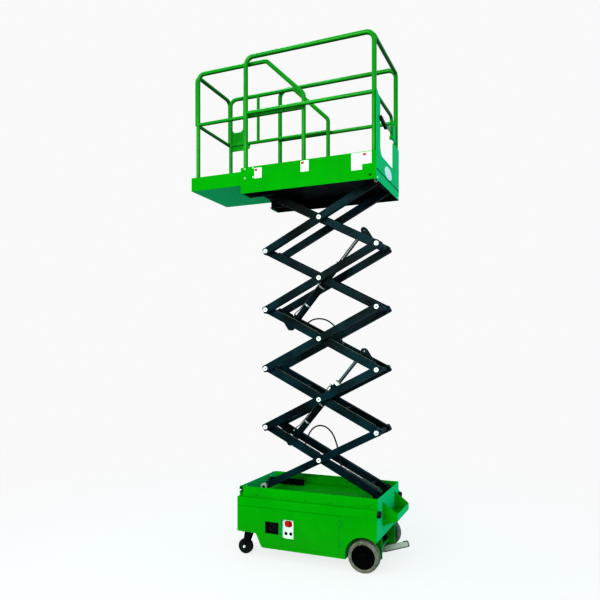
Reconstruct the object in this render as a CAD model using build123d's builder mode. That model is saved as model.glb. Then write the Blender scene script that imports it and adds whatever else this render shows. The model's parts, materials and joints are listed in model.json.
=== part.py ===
from build123d import *
from math import cos, radians, sin, sqrt
import os

# Self-propelled scissor lift, sizes in millimetres.
# +X points forwards, +Y to the machine's left, +Z up; the origin is on the floor,
# under the middle of the machine's overall length.

# ---- overall -------------------------------------------------------------
front_reach = 1160.0        # scissor centre to the front of the roll-out deck
rear_reach = 735.0          # scissor centre to the end of the foot bar
stack_x = (rear_reach - front_reach) / 2.0
run_fit = 0.05              # radial running clearance of a pin in its bore
seat_gap = 0.3              # gap of a piece that slides or rolls on another

# ---- scissor arms --------------------------------------------------------
stages = 5
arm_pitch = 1105.0          # pin to pin
arm_angle = 27.2            # at rest, from the horizontal
arm_depth = 60.0
arm_width = 40.0
arm_end = 25.0              # arm beyond its end pins
arm_corner = 15.0
arm_outer_y = 190.0         # outer face of the outer arms
lane_gap = 5.0
pin_r = 18.0
cap_r = 19.0
cap_t = 6.0
cap_play = 1.0              # between a pin's cap and the roller's lane
low_pin_z = 560.0
tie_r = 20.0                # cross tubes of the inner frames
tie_offset = 200.0          # from the centre pin, frames with no cylinder
lug_tie_offset = 450.0      # from the centre pin, frames that hold a cylinder
lug_offset = 345.0          # cylinder pins, along the arm from its centre
lug_rise = 62.0             # cylinder pins, off the arm's centre line
lug_t = 10.0
lug_wrap = 4.0
lug_r = 24.0
eye_t = 26.0
eye_weld = 4.0              # of the rod into its eye
eye_r = 22.0
eye_pin_r = 11.0
lug_gap = 3.0               # between an eye and its lug, each side

# ---- lift cylinders ------------------------------------------------------
barrel_r = 28.0
barrel_reach = 700.0        # from its eye to its head
barrel_foot = 64.0          # from its eye to the barrel's closed end
rod_r = 15.0
rod_inside = 200.0          # rod left in the barrel at rest
gland_r = 31.0
gland_t = 30.0

pivot_y = 152.0             # inner face of the brackets of the two fixed pivots
pivot_t = 12.0
foot_t = 4.0                # of a pivot bracket, before it narrows
axle_r = 12.0

# ---- rollers and tracks --------------------------------------------------
roller_r = 30.0
roller_w = 30.0
track_bar = 8.0
track_spare = 20.0          # beyond the roller at its rear end
track_stop = 4.0            # beyond it at its front end
track_web = 4.0
roller_play = 3.0           # between the roller and the track's web
lane_seat = 2.0             # of the track's bar, inwards of its lane
track_lane = arm_outer_y + cap_t + cap_play
track_w = roller_w + roller_play

# ---- chassis -------------------------------------------------------------
chassis_front = 665.0       # from the scissor centre
chassis_rear = 545.0
chassis_half = 370.0
sheet = 4.0
skirt_z = 90.0
ledge_z = 495.0             # outer ledge beside the well
band_z = 425.0              # lower edge of the ledge's side band
band_t = 4.0
strip_y = 340.0             # outer face of the well's side strips
strip_z = 578.0
nose_z = 206.0              # underside above the casters
nose_x = 492.0
chin_x = 440.0
tail_z = 250.0

well_front = 650.0
well_corner = 32.0
nose_r = 30.0               # bends of the side wall's lower edge
chin_r = 20.0
toe_r = 8.0
hole_y = 239.0              # holes near the top corners of the well's end walls
hole_z = 554.0
hole_r = 8.0
door_rear = -238.0
door_low = 120.0
door_gap = 5.0
door_sheet = 3.7
bay_front = 430.0           # opening in the side wall behind the door
bay_rear = -226.0
bay_low = 137.0
bay_top = 412.0
motor_r = 52.0
motor_in_y = 205.0
mount_t = 10.0

hinge_x = -246.0
hinge_y = 375.2
hinge_pin_r = 2.0
knuckle_r = 4.8
knuckle_h = 50.0
knuckle_end = 15.0          # the wall's part of a knuckle, at each end
hinge_leaf = 18.0
leaf_t = 3.0
hinge_levels = (180.0, 340.0)
plate_rear = 149.0          # recess of the ground controls
plate_front = 262.0
plate_low = 181.0
plate_top = 344.0
plate_r = 10.0
plate_t = 2.0
recess_depth = 30.0
recess_wall = 2.0
stop_x = 208.0
stop_z = 302.0
stop_r = 20.0
stop_neck_r = 11.0
stop_neck = 12.0
stop_head = 10.0
stop_round = 4.0
key_front = 230.0
key_rear = 187.0
key_z = 223.0
key_r = 9.0
key_t = 9.0
key_grip = 5.0
socket_rear = 283.0         # charging socket
socket_front = 405.0
socket_low = 215.0
socket_top = 311.0
socket_r = 6.0
socket_depth = 40.0
socket_wall = 3.0
socket_lip = 8.0
socket_face_r = 30.0
socket_face_t = 12.0
low_web = 15.0
pivot_r = 32.0
pivot_foot = 88.0
high_pivot_y = 119.0
top_angle = 40.0
low_angle = 4.2
step_half = 200.0
step_reach = 665.0
step_low = 380.0
step_lip = 55.0
step_side_top = 526.0       # its side plates, where they meet the chassis
step_side_low = 335.0
buffer_y = 345.0            # rubber buffers on the rear wall
buffer_z = 460.0
buffer_r = 28.0
buffer_t = 25.0
buffer_edge = 6.0
bar_y = 92.0
bar_t = 8.0
bar_h = 45.0
bar_rear_z = 182.0
bar_front_x = -482.0
bar_front_z = 100.0
bar_tube_r = 8.0
block_x = 100.0
block_length = 560.0
block_width = 600.0
block_height = 260.0

# ---- wheels --------------------------------------------------------------
tyre_r = 125.0
tyre_w = 80.0
wheel_half = 380.0          # half of the overall width, at the tyres' faces
rim_r = 94.0
axle_x = -437.0             # from the scissor centre
arch_r = 150.0
caster_r = 62.5
caster_w = 40.0
caster_y = 300.0
swivel_x = 588.0
caster_trail = 34.0

tyre_shoulder = 8.0
hub_set = 4.0
rim_lip = 8.0
hub_dish = 14.0
hub_cap_r = 34.0
hub_cap_t = 10.0
motor_tail_r = 40.0
motor_tail = 60.0
caster_plate = 100.0
caster_plate_t = 6.0
kingpin_r = 12.0
crown_t = 16.0
crown_r = 36.0
caster_side = 4.0
leg_t = 4.0
leg_boss_r = 16.0
leg_top = 60.0
caster_axle_r = 6.0
caster_shoulder = 6.0

# ---- platform ------------------------------------------------------------
deck_front = 636.0
deck_over = 48.6            # deck beyond the scissor's rear pins
deck_half = 369.0
deck_sheet = 3.0
toe_height = 136.0          # above the floor
toe_drop = 79.0             # below the floor
rail_r = 19.0
rail_height = 1068.0        # above the floor
rail_drop = 469.0           # from the top rail to the mid rail
rail_front = 600.0
rail_bend = 70.0

mid_r = 16.0
gate_hinge = -216.0
gate_latch = 246.0
gate_leg = 190.0            # from the gate's bar down to the foot of its hinge tube
gate_r = 14.0
gate_bend = 50.0
gate_tip = 200.0            # reach of its corner plate from the hinge tube
gate_tip_h = 8.0
gate_plate_low = 40.0       # corner plate, above the hinge tube's foot
gate_plate_rise = 65.0
gate_plate_t = 6.0
bracket_t = 8.0
ring_r = 20.0
ring_h = 20.0
ring_high = 70.0            # upper ring, below the bar
rest_h = 40.0
rest_reach = 20.0
latch_length = 150.0
latch_set = 20.0            # of the latch's pivot, outwards from the near wing's inner edge
latch_drop = 180.0          # below the bar
latch_fall = 28.0
latch_r = 15.0
latch_t = 20.0
latch_round = 4.0
near_wing = 119.0           # side wings of the entry panel, inwards from the toe boards
near_wing_low = 427.0       # wing's inner corner and its outer corner, above the toe board
near_wing_high = 490.0
far_wing = 219.0
far_wing_high = 222.0
wing_r = 70.0
wing_corner = 18.0

# ---- roll-out deck -------------------------------------------------------
ext_inset = 57.0            # from the main deck's side to the roll-out deck's
ext_half = deck_half - ext_inset
ext_rear = 60.0             # its rear edge at rest, from the scissor centre
ext_toe_height = 114.0      # above its own floor
ext_rail_r = 17.5
ext_post_set = 57.0         # from the front of the roll-out deck to its front posts
ext_rail_height = 1027.0    # above its own floor
ext_rail_drop = 443.0
ext_loop_drop = 12.0        # the front loop's top bar, below the side rails
ext_loop_set = 11.0         # the front loop, ahead of the front posts
ext_bar_set = (298.0, 150.0)  # short uprights of the far side, behind the front post
ext_bar_r = 14.0
panel_length = 211.0        # plate for the upper controls, behind the front post
panel_height = 180.0
panel_rise = 120.0          # above the mid rail
panel_t = 5.0
panel_fillet = 38.0
ext_drop_x = 434.0
ext_low_x = 94.0
ext_low_drop = 332.0        # from its top rail to the low rear corner of its side loops

ext_mid_r = 15.0
ext_bend = 60.0
pad_t = 6.0
pad_edge = 40.0             # from the roll-out deck's side to a pad's middle
pad_w = 30.0
pad_length = 400.0

# ---- derived -------------------------------------------------------------
rise = arm_pitch * sin(radians(arm_angle))
span = arm_pitch * cos(radians(arm_angle))
deck_rear = span / 2.0 + deck_over
arm_inner_y = arm_outer_y - arm_width - lane_gap
track_z = low_pin_z - roller_r - seat_gap
top_pin_z = low_pin_z + stages * rise
floor_z = top_pin_z + roller_r + seat_gap + track_bar
floor_top = floor_z + deck_sheet
toe_top = floor_top + toe_height
toe_low = floor_z - toe_drop
rail_top = floor_top + rail_height
rail_mid = rail_top - rail_drop
rail_rear = deck_rear - deck_sheet - seat_gap - rail_r
gate_top = rail_mid
gate_low = gate_top - gate_leg
ext_z = floor_top + seat_gap + pad_t
ext_floor = ext_z + deck_sheet
ext_toe_top = ext_floor + ext_toe_height
ext_post_x = front_reach - ext_post_set
ext_rail_top = ext_floor + ext_rail_height
ext_rail_mid = ext_rail_top - ext_rail_drop
ext_low_z = ext_rail_top - ext_low_drop
rear_pin_x = stack_x - span / 2.0


def level(i):
    """Height of the centre pin of stage i, counted from 1."""
    return low_pin_z + (i - 0.5) * rise


def arm_plane(i, y, lean):
    """Side plane of an arm: lean +1 rises to the front, -1 to the rear."""
    along = (cos(radians(arm_angle)), 0, lean * sin(radians(arm_angle)))
    return Plane(origin=(stack_x, y, level(i)), x_dir=along, z_dir=(0, -1, 0))


def cross_plane(x, z, y):
    """Plane facing +Y for turned pieces that lie across the machine."""
    return Plane(origin=(x, y, z), x_dir=(1, 0, 0), z_dir=(0, 1, 0))


os.makedirs("parts", exist_ok=True)


def keep(name, shape):
    """Label a finished piece and export it."""
    shape.label = name
    export_step(shape, "parts/" + name + ".step")


# ---- inner scissor frames: rear-lower to front-upper ---------------------
# stage, has foot lugs at its front, has rod lugs at its rear
inner_frames = [
    (1, True, False),
    (2, False, False),
    (3, True, True),
    (4, False, False),
    (5, False, True),
]
for stage, foot_lugs, rod_lugs in inner_frames:
    plane = arm_plane(stage, arm_inner_y, 1)
    half_pitch = arm_pitch / 2
    bored_ends = [x for x, own in ((-half_pitch, stage == 1), (half_pitch, stage == stages)) if not own]
    tie_at = lug_tie_offset if (foot_lugs or rod_lugs) else tie_offset
    lugs = []
    if foot_lugs:
        lugs.append((lug_tie_offset, lug_offset, -lug_rise))
    if rod_lugs:
        lugs.append((-lug_tie_offset, -lug_offset, lug_rise))
    with BuildPart() as frame:
        with BuildSketch(plane):
            Rectangle(arm_pitch + 2 * arm_end, arm_depth)
            fillet(vertices(), arm_corner)
            for x in bored_ends:
                with Locations((x, 0)):
                    Circle(pin_r + run_fit, mode=Mode.SUBTRACT)
        extrude(amount=arm_width)
        with BuildSketch(plane):
            with Locations((-tie_at, 0), (tie_at, 0)):
                Circle(tie_r)
        extrude(amount=arm_inner_y)
        # centre pin through the outer arm, and its cap
        with BuildSketch(plane):
            Circle(pin_r)
        extrude(amount=-(arm_outer_y + seat_gap - arm_inner_y))
        with BuildSketch(arm_plane(stage, arm_outer_y + seat_gap, 1)):
            Circle(cap_r)
        extrude(amount=-cap_t)
        if stage == 1:
            with BuildSketch(plane):
                with Locations((-half_pitch, 0)):
                    Circle(pin_r)
            extrude(amount=-(pivot_y + pivot_t + 2 * seat_gap - arm_inner_y))
        if stage == stages:
            with BuildSketch(plane):
                with Locations((half_pitch, 0)):
                    Circle(pin_r)
            extrude(amount=-(track_lane - seat_gap - arm_inner_y))
            with BuildSketch(plane):
                with Locations((half_pitch, 0)):
                    Circle(axle_r)
            extrude(amount=-(track_lane + roller_w - arm_inner_y))
        for tie_x, eye_x, eye_rise in lugs:
            with BuildSketch(arm_plane(stage, eye_t / 2 + lug_gap + lug_t, 1)):
                with Locations((tie_x, 0)):
                    Circle(tie_r + lug_wrap)
                with Locations((eye_x, eye_rise)):
                    Circle(lug_r)
                make_hull()
                with Locations((eye_x, eye_rise)):
                    Circle(eye_pin_r, mode=Mode.SUBTRACT)
            extrude(amount=lug_t)
        mirror(about=Plane.XZ)
        # the foot pins cross the gap, the rod pins stop at their lugs
        if foot_lugs:
            with BuildSketch(arm_plane(stage, eye_t / 2 + lug_gap + lug_t, 1)):
                with Locations((lug_offset, -lug_rise)):
                    Circle(eye_pin_r)
            extrude(amount=eye_t + 2 * (lug_gap + lug_t))
    keep("inner_frame_%d" % stage, frame.part)

# ---- outer scissor frames: front-lower to rear-upper ---------------------
for stage in range(1, stages + 1):
    plane = arm_plane(stage, arm_outer_y, -1)
    with BuildPart() as frame:
        with BuildSketch(plane):
            Rectangle(arm_pitch + 2 * arm_end, arm_depth)
            fillet(vertices(), arm_corner)
            Circle(pin_r + run_fit, mode=Mode.SUBTRACT)
        extrude(amount=arm_width)
        with BuildSketch(plane):
            with Locations((-arm_pitch / 2, 0), (arm_pitch / 2, 0)):
                Circle(pin_r)
        extrude(amount=arm_outer_y)
        with BuildSketch(plane):
            with Locations((-arm_pitch / 2, 0), (arm_pitch / 2, 0)):
                Circle(cap_r)
        extrude(amount=-cap_t)
        if stage == 1:
            with BuildSketch(plane):
                with Locations((arm_pitch / 2, 0)):
                    Circle(axle_r)
            extrude(amount=-(track_lane + roller_w - arm_outer_y))
        mirror(about=Plane.XZ)
    keep("outer_frame_%d" % stage, frame.part)

# ---- track rollers -------------------------------------------------------
roller_rows = [
    ("low_rollers", low_pin_z),
    ("high_rollers", top_pin_z),
]
for name, height in roller_rows:
    with BuildPart() as rollers:
        with BuildSketch(cross_plane(stack_x + span / 2, height, track_lane)):
            Circle(roller_r)
            Circle(axle_r + run_fit, mode=Mode.SUBTRACT)
        extrude(amount=roller_w)
        mirror(about=Plane.XZ)
    keep(name, rollers.part)

# ---- lift cylinders ------------------------------------------------------
# each from the foot lug of one inner frame to the rod lug two frames above
for number, stage in ((1, 1), (2, 3)):
    foot = arm_plane(stage, 0, 1).from_local_coords(Vector(lug_offset, -lug_rise, 0))
    head = arm_plane(stage + 2, 0, 1).from_local_coords(Vector(-lug_offset, lug_rise, 0))
    stroke = head - foot
    line = Plane(origin=foot, x_dir=(0, 1, 0), z_dir=stroke)
    side = Plane(origin=(foot.X, eye_t / 2, foot.Z), x_dir=stroke, z_dir=(0, -1, 0))
    with BuildPart() as barrel:
        with BuildSketch(side):
            Circle(eye_r)
            with Locations((barrel_foot / 2, 0)):
                Rectangle(barrel_foot, 2 * eye_r)
            Circle(eye_pin_r + run_fit, mode=Mode.SUBTRACT)
        extrude(amount=eye_t)
        with BuildSketch(line.offset(barrel_foot)):
            Circle(barrel_r)
        extrude(amount=barrel_reach - barrel_foot)
        with BuildSketch(line.offset(barrel_reach - gland_t)):
            Circle(gland_r)
        extrude(amount=gland_t)
        with BuildSketch(line.offset(barrel_foot + barrel_r)):
            Circle(rod_r + run_fit)
        extrude(amount=barrel_reach, mode=Mode.SUBTRACT)
    keep("lift_barrel_%d" % number, barrel.part)
    with BuildPart() as rod:
        with BuildSketch(line.offset(barrel_reach - rod_inside)):
            Circle(rod_r)
        extrude(amount=stroke.length - barrel_reach + rod_inside - eye_r + eye_weld)
        with BuildSketch(Plane(origin=(head.X, eye_t / 2, head.Z), x_dir=stroke, z_dir=(0, -1, 0))):
            Circle(eye_r)
        extrude(amount=eye_t)
        with BuildSketch(Plane(origin=(head.X, eye_t / 2, head.Z), x_dir=stroke, z_dir=(0, -1, 0))):
            Circle(eye_pin_r)
        extrude(amount=eye_t, mode=Mode.SUBTRACT)
    keep("lift_rod_%d" % number, rod.part)

# ---- chassis -------------------------------------------------------------
side_plane = Plane(origin=(stack_x, chassis_half, 0), x_dir=(1, 0, 0), z_dir=(0, -1, 0))
with BuildSketch() as side_profile:
    with BuildLine():
        Polyline(
            (chassis_front, nose_z),
            (chassis_front, ledge_z),
            (-chassis_rear, ledge_z),
            (-chassis_rear, tail_z),
            (axle_x, skirt_z),
            (chin_x, skirt_z),
            (nose_x, nose_z),
            close=True,
        )
    make_face()
    for x, z, bend in ((nose_x, nose_z, nose_r), (chin_x, skirt_z, chin_r), (chassis_front, nose_z, toe_r)):
        fillet(vertices().sort_by_distance((x, z, 0))[0], bend)
    with Locations((axle_x, tyre_r)):
        Circle(arch_r, mode=Mode.SUBTRACT)
inner_profile = offset(side_profile.sketch, amount=-sheet)
with BuildPart() as chassis:
    with BuildSketch(side_plane):
        add(side_profile.sketch)
    extrude(amount=2 * chassis_half)
    with BuildSketch(side_plane.offset(sheet)):
        add(inner_profile)
    extrude(amount=2 * (chassis_half - sheet), mode=Mode.SUBTRACT)
    # bands that stand proud along the ledge
    with BuildSketch(Plane.XY.offset(band_z)):
        with Locations((stack_x + (chassis_front - chassis_rear) / 2, 0)):
            Rectangle(chassis_front + chassis_rear, 2 * (chassis_half + band_t))
            Rectangle(chassis_front + chassis_rear, 2 * (chassis_half - sheet), mode=Mode.SUBTRACT)
    extrude(amount=ledge_z - band_z)
    # walls of the well that the scissor folds into
    well_length = well_front + chassis_rear
    with BuildSketch(Plane.XY.offset(ledge_z - sheet)) as well:
        with Locations((stack_x + (well_front - chassis_rear) / 2, 0)):
            Rectangle(well_length, 2 * strip_y)
        fillet(well.vertices().group_by(Axis.X)[-1], well_corner)
        offset(amount=-sheet, mode=Mode.SUBTRACT)
    extrude(amount=strip_z - ledge_z + sheet)
    with BuildSketch(Plane(origin=(stack_x + well_front, 0, hole_z), x_dir=(0, 1, 0), z_dir=(-1, 0, 0))):
        with Locations((-hole_y, 0), (hole_y, 0)):
            Circle(hole_r)
    extrude(amount=well_length, mode=Mode.SUBTRACT)
    # web plates that carry the drive motors
    for y in (motor_in_y, -motor_in_y - mount_t):
        with BuildSketch(cross_plane(stack_x + axle_x, tyre_r, y)):
            Circle(arch_r + sheet / 2)
            with Locations((0, arch_r / 2 + motor_r)):
                Rectangle(2 * arch_r + 2 * sheet, arch_r, mode=Mode.SUBTRACT)
            with Locations((-chassis_rear - axle_x - arch_r / 2, 0)):
                Rectangle(arch_r, 2 * arch_r + 2 * sheet, mode=Mode.SUBTRACT)
        extrude(amount=mount_t)
    # cross tube of the foot bar, between the web plates
    with BuildSketch(cross_plane(stack_x + bar_front_x, bar_front_z, -motor_in_y)):
        Circle(bar_tube_r)
    extrude(amount=2 * motor_in_y)
    # openings behind the doors
    with BuildSketch(side_plane):
        with Locations(((bay_front + bay_rear) / 2, (bay_low + bay_top) / 2)):
            Rectangle(bay_front - bay_rear, bay_top - bay_low)
    extrude(amount=2 * chassis_half, mode=Mode.SUBTRACT)
    # the walls' halves of the door hinges, with their pins
    for hand in (1, -1):
        for level_z in hinge_levels:
            for z in (level_z, level_z + knuckle_h - knuckle_end + seat_gap):
                with BuildSketch(Plane.XY.offset(z)):
                    with Locations((stack_x + hinge_x, hand * hinge_y)):
                        Circle(knuckle_r)
                    with Locations((stack_x + hinge_x - hinge_leaf / 2, hand * (chassis_half + leaf_t / 2 - sheet / 4))):
                        Rectangle(hinge_leaf, leaf_t + sheet / 2)
                extrude(amount=knuckle_end - seat_gap)
            with BuildSketch(Plane.XY.offset(level_z)):
                with Locations((stack_x + hinge_x, hand * hinge_y)):
                    Circle(hinge_pin_r)
            extrude(amount=knuckle_h)
keep("chassis", chassis.part)

# ---- doors ---------------------------------------------------------------
# lap panels over the side walls, flush with the bands above them
door_top = band_z - door_gap
recesses = [
    ("control_box", plate_rear, plate_front, plate_low, plate_top, plate_r, recess_depth, recess_wall),
    ("socket_box", socket_rear, socket_front, socket_low, socket_top, socket_r, socket_depth, socket_wall),
]
for name, hand in (("left_door", 1), ("right_door", -1)):
    face = Plane(origin=(stack_x, hand * (chassis_half + seat_gap), 0), x_dir=(1, 0, 0), z_dir=(0, -1, 0))
    with BuildPart() as door:
        with BuildSketch(face):
            add(side_profile.sketch)
            with Locations(((chassis_front + door_rear) / 2, (door_top + door_low) / 2)):
                Rectangle(chassis_front - door_rear, door_top - door_low, mode=Mode.INTERSECT)
        extrude(amount=-hand * door_sheet)
        if name == "left_door":
            for label, rear, front, low, top, corner, depth, wall in recesses:
                with BuildSketch(face):
                    with Locations(((rear + front) / 2, (low + top) / 2)):
                        RectangleRounded(front - rear, top - low, corner)
                extrude(amount=-hand * door_sheet, mode=Mode.SUBTRACT)
        # the door's part of each hinge
        for z in hinge_levels:
            with BuildSketch(Plane.XY.offset(z + knuckle_end)):
                with Locations((stack_x + hinge_x, hand * hinge_y)):
                    Circle(knuckle_r)
                with Locations((stack_x + hinge_x + hinge_leaf / 2, hand * (hinge_y - knuckle_r / 2))):
                    Rectangle(hinge_leaf, knuckle_r)
                with Locations((stack_x + hinge_x, hand * hinge_y)):
                    Circle(hinge_pin_r + run_fit, mode=Mode.SUBTRACT)
            extrude(amount=knuckle_h - 2 * knuckle_end)
    keep(name, door.part)

# ---- ground controls and charging socket, in the left door ----------------
door_back = Plane(origin=(stack_x, chassis_half + seat_gap, 0), x_dir=(1, 0, 0), z_dir=(0, -1, 0))
for name, rear, front, low, top, corner, depth, wall in recesses:
    spot = ((rear + front) / 2, (low + top) / 2)
    with BuildPart() as tray:
        with BuildSketch(door_back):
            with Locations(spot):
                RectangleRounded(front - rear + 2 * socket_lip, top - low + 2 * socket_lip, corner + socket_lip)
        extrude(amount=wall)
        with BuildSketch(door_back):
            with Locations(spot):
                RectangleRounded(front - rear + 2 * wall, top - low + 2 * wall, corner + wall)
        extrude(amount=depth + wall)
        with BuildSketch(door_back):
            with Locations(spot):
                RectangleRounded(front - rear, top - low, corner)
        extrude(amount=depth, mode=Mode.SUBTRACT)
        if name == "socket_box":
            with BuildSketch(door_back.offset(depth)):
                with Locations(spot):
                    Circle(socket_face_r)
                    Circle(socket_face_r - socket_lip, mode=Mode.SUBTRACT)
            extrude(amount=-socket_face_t)
    keep(name, tray.part)

plate_back = door_back.offset(recess_depth)
with BuildPart() as plate:
    with BuildSketch(plate_back):
        with Locations(((plate_rear + plate_front) / 2, (plate_low + plate_top) / 2)):
            RectangleRounded(
                plate_front - plate_rear - 2 * seat_gap, plate_top - plate_low - 2 * seat_gap, plate_r - seat_gap
            )
    extrude(amount=-plate_t)
keep("control_plate", plate.part)
plate_face = plate_back.offset(-plate_t)
with BuildPart() as stop:
    with BuildSketch(plate_face):
        with Locations((stop_x, stop_z)):
            Circle(stop_neck_r)
    extrude(amount=-stop_neck)
    with BuildSketch(plate_face.offset(-stop_neck)):
        with Locations((stop_x, stop_z)):
            Circle(stop_r)
    extrude(amount=-stop_head)
    fillet(stop.edges().group_by(Axis.Y)[-1], stop_round)
keep("stop_button", stop.part)
with BuildPart() as keys:
    with BuildSketch(plate_face):
        with Locations((key_front, key_z), (key_rear, key_z)):
            Circle(key_r)
    extrude(amount=-key_t / 2)
    with BuildSketch(plate_face):
        with Locations((key_front, key_z), (key_rear, key_z)):
            Rectangle(key_grip, 2 * key_r - key_grip)
    extrude(amount=-key_t)
keep("control_keys", keys.part)

# ---- drive wheels --------------------------------------------------------
for name, hand in (("left", 1), ("right", -1)):
    axis_plane = Plane(
        origin=(stack_x + axle_x, hand * wheel_half, tyre_r), x_dir=(1, 0, 0), z_dir=(0, -hand, 0)
    )
    spin = Axis(origin=(stack_x + axle_x, 0, tyre_r), direction=(0, 1, 0))
    with BuildPart() as tyre:
        with BuildSketch(Plane(origin=(stack_x + axle_x, 0, tyre_r), x_dir=(0, hand, 0), z_dir=(hand, 0, 0))):
            with Locations((wheel_half - tyre_w / 2, (tyre_r + rim_r) / 2)):
                Rectangle(tyre_w, tyre_r - rim_r)
            fillet(vertices().group_by(Axis.Z)[-1], tyre_shoulder)
        revolve(axis=spin)
    keep(name + "_tyre", tyre.part)
    with BuildPart() as hub:
        with BuildSketch(axis_plane.offset(hub_set)):
            Circle(rim_r)
        extrude(amount=tyre_w - 2 * hub_set)
        with BuildSketch(axis_plane.offset(hub_set)):
            Circle(rim_r - rim_lip)
        extrude(amount=hub_dish, mode=Mode.SUBTRACT)
        with BuildSketch(axis_plane.offset(hub_set + hub_dish)):
            Circle(hub_cap_r)
        extrude(amount=-hub_cap_t)
    keep(name + "_hub", hub.part)

with BuildPart() as motors:
    with BuildSketch(cross_plane(stack_x + axle_x, tyre_r, motor_in_y + mount_t)):
        Circle(motor_r)
    extrude(amount=wheel_half - tyre_w + hub_set - motor_in_y - mount_t - seat_gap)
    with BuildSketch(cross_plane(stack_x + axle_x, tyre_r, motor_in_y)):
        Circle(motor_tail_r)
    extrude(amount=-motor_tail)
    mirror(about=Plane.XZ)
keep("drive_motors", motors.part)

# ---- casters -------------------------------------------------------------
with BuildPart() as plates:
    with BuildSketch(Plane.XY.offset(nose_z - caster_plate_t)):
        with Locations((stack_x + swivel_x, caster_y)):
            Rectangle(caster_plate, caster_plate)
    extrude(amount=caster_plate_t)
    with BuildSketch(Plane.XY.offset(nose_z - caster_plate_t)):
        with Locations((stack_x + swivel_x, caster_y)):
            Circle(kingpin_r)
    extrude(amount=-crown_t)
    mirror(about=Plane.XZ)
keep("caster_plates", plates.part)
crown_z = nose_z - caster_plate_t - seat_gap
for name, hand in (("left", 1), ("right", -1)):
    y = hand * caster_y
    with BuildPart() as fork:
        with BuildSketch(Plane.XY.offset(crown_z)):
            with Locations((stack_x + swivel_x, y)):
                Circle(crown_r)
                Circle(kingpin_r + run_fit, mode=Mode.SUBTRACT)
        extrude(amount=-crown_t)
        for leg_y in (y + caster_w / 2 + caster_side + leg_t, y - caster_w / 2 - caster_side):
            with BuildSketch(Plane(origin=(stack_x, leg_y, 0), x_dir=(1, 0, 0), z_dir=(0, -1, 0))):
                with Locations((swivel_x + caster_trail, caster_r)):
                    Circle(leg_boss_r)
                with Locations((swivel_x, crown_z - crown_t / 2)):
                    Rectangle(leg_top, crown_t)
                make_hull()
            extrude(amount=leg_t)
        with BuildSketch(cross_plane(stack_x + swivel_x + caster_trail, caster_r, y - caster_w / 2 - caster_side)):
            Circle(caster_axle_r)
        extrude(amount=caster_w + 2 * caster_side)
    keep(name + "_caster_fork", fork.part)
    with BuildPart() as wheel:
        with BuildSketch(cross_plane(stack_x + swivel_x + caster_trail, caster_r, y - caster_w / 2)):
            Circle(caster_r)
            Circle(caster_axle_r + run_fit, mode=Mode.SUBTRACT)
        extrude(amount=caster_w)
        fillet(wheel.edges().filter_by(GeomType.CIRCLE).sort_by(SortBy.RADIUS)[-2:], caster_shoulder)
    keep(name + "_caster_wheel", wheel.part)

# ---- tracks and fixed pivots ---------------------------------------------
track_rear = rear_pin_x + arm_pitch * cos(radians(top_angle)) - roller_r - track_spare
track_front = rear_pin_x + arm_pitch * cos(radians(low_angle)) + roller_r + track_stop
with BuildPart() as low_tracks:
    with BuildSketch(Plane.XY.offset(ledge_z)):
        with Locations(((track_rear + track_front) / 2, track_lane - lane_seat + track_w / 2)):
            Rectangle(track_front - track_rear, track_w)
    extrude(amount=track_z - ledge_z)
    with BuildSketch(Plane.XY.offset(ledge_z)):
        with Locations(((track_rear + track_front) / 2, track_lane - lane_seat + track_w + track_web / 2)):
            Rectangle(track_front - track_rear, track_web)
    extrude(amount=track_z - ledge_z + low_web)
    # brackets of the rear pivot
    with BuildSketch(Plane(origin=(rear_pin_x, pivot_y + pivot_t, 0), x_dir=(1, 0, 0), z_dir=(0, -1, 0))):
        with Locations((0, low_pin_z)):
            Circle(pivot_r)
        with Locations((0, ledge_z + foot_t / 2)):
            Rectangle(pivot_foot, foot_t)
        make_hull()
        with Locations((0, low_pin_z)):
            Circle(pin_r + run_fit, mode=Mode.SUBTRACT)
    extrude(amount=pivot_t)
    mirror(about=Plane.XZ)
keep("low_tracks", low_tracks.part)

high_z = top_pin_z + roller_r + seat_gap
high_front = stack_x + deck_front
with BuildPart() as high_tracks:
    with BuildSketch(Plane.XY.offset(high_z)):
        with Locations(((track_rear + high_front) / 2, track_lane - lane_seat + track_w / 2)):
            Rectangle(high_front - track_rear, track_w)
    extrude(amount=track_bar)
    with BuildSketch(Plane.XY.offset(high_z + track_bar)):
        with Locations(((track_rear + high_front) / 2, track_lane - lane_seat + track_w + track_web / 2)):
            Rectangle(high_front - track_rear, track_web)
    extrude(amount=-(track_bar + 2 * roller_r + 2 * seat_gap + track_web))
    with BuildSketch(Plane.XY.offset(top_pin_z - roller_r - seat_gap)):
        with Locations(((track_rear + high_front) / 2, track_lane - lane_seat + track_w / 2)):
            Rectangle(high_front - track_rear, track_w)
    extrude(amount=-track_web)
    with BuildSketch(Plane(origin=(rear_pin_x, high_pivot_y + pivot_t, 0), x_dir=(1, 0, 0), z_dir=(0, -1, 0))):
        with Locations((0, top_pin_z)):
            Circle(pivot_r)
        with Locations((0, floor_z - foot_t / 2)):
            Rectangle(pivot_foot, foot_t)
        make_hull()
        with Locations((0, top_pin_z)):
            Circle(pin_r + run_fit, mode=Mode.SUBTRACT)
    extrude(amount=pivot_t)
    mirror(about=Plane.XZ)
keep("high_tracks", high_tracks.part)

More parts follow.
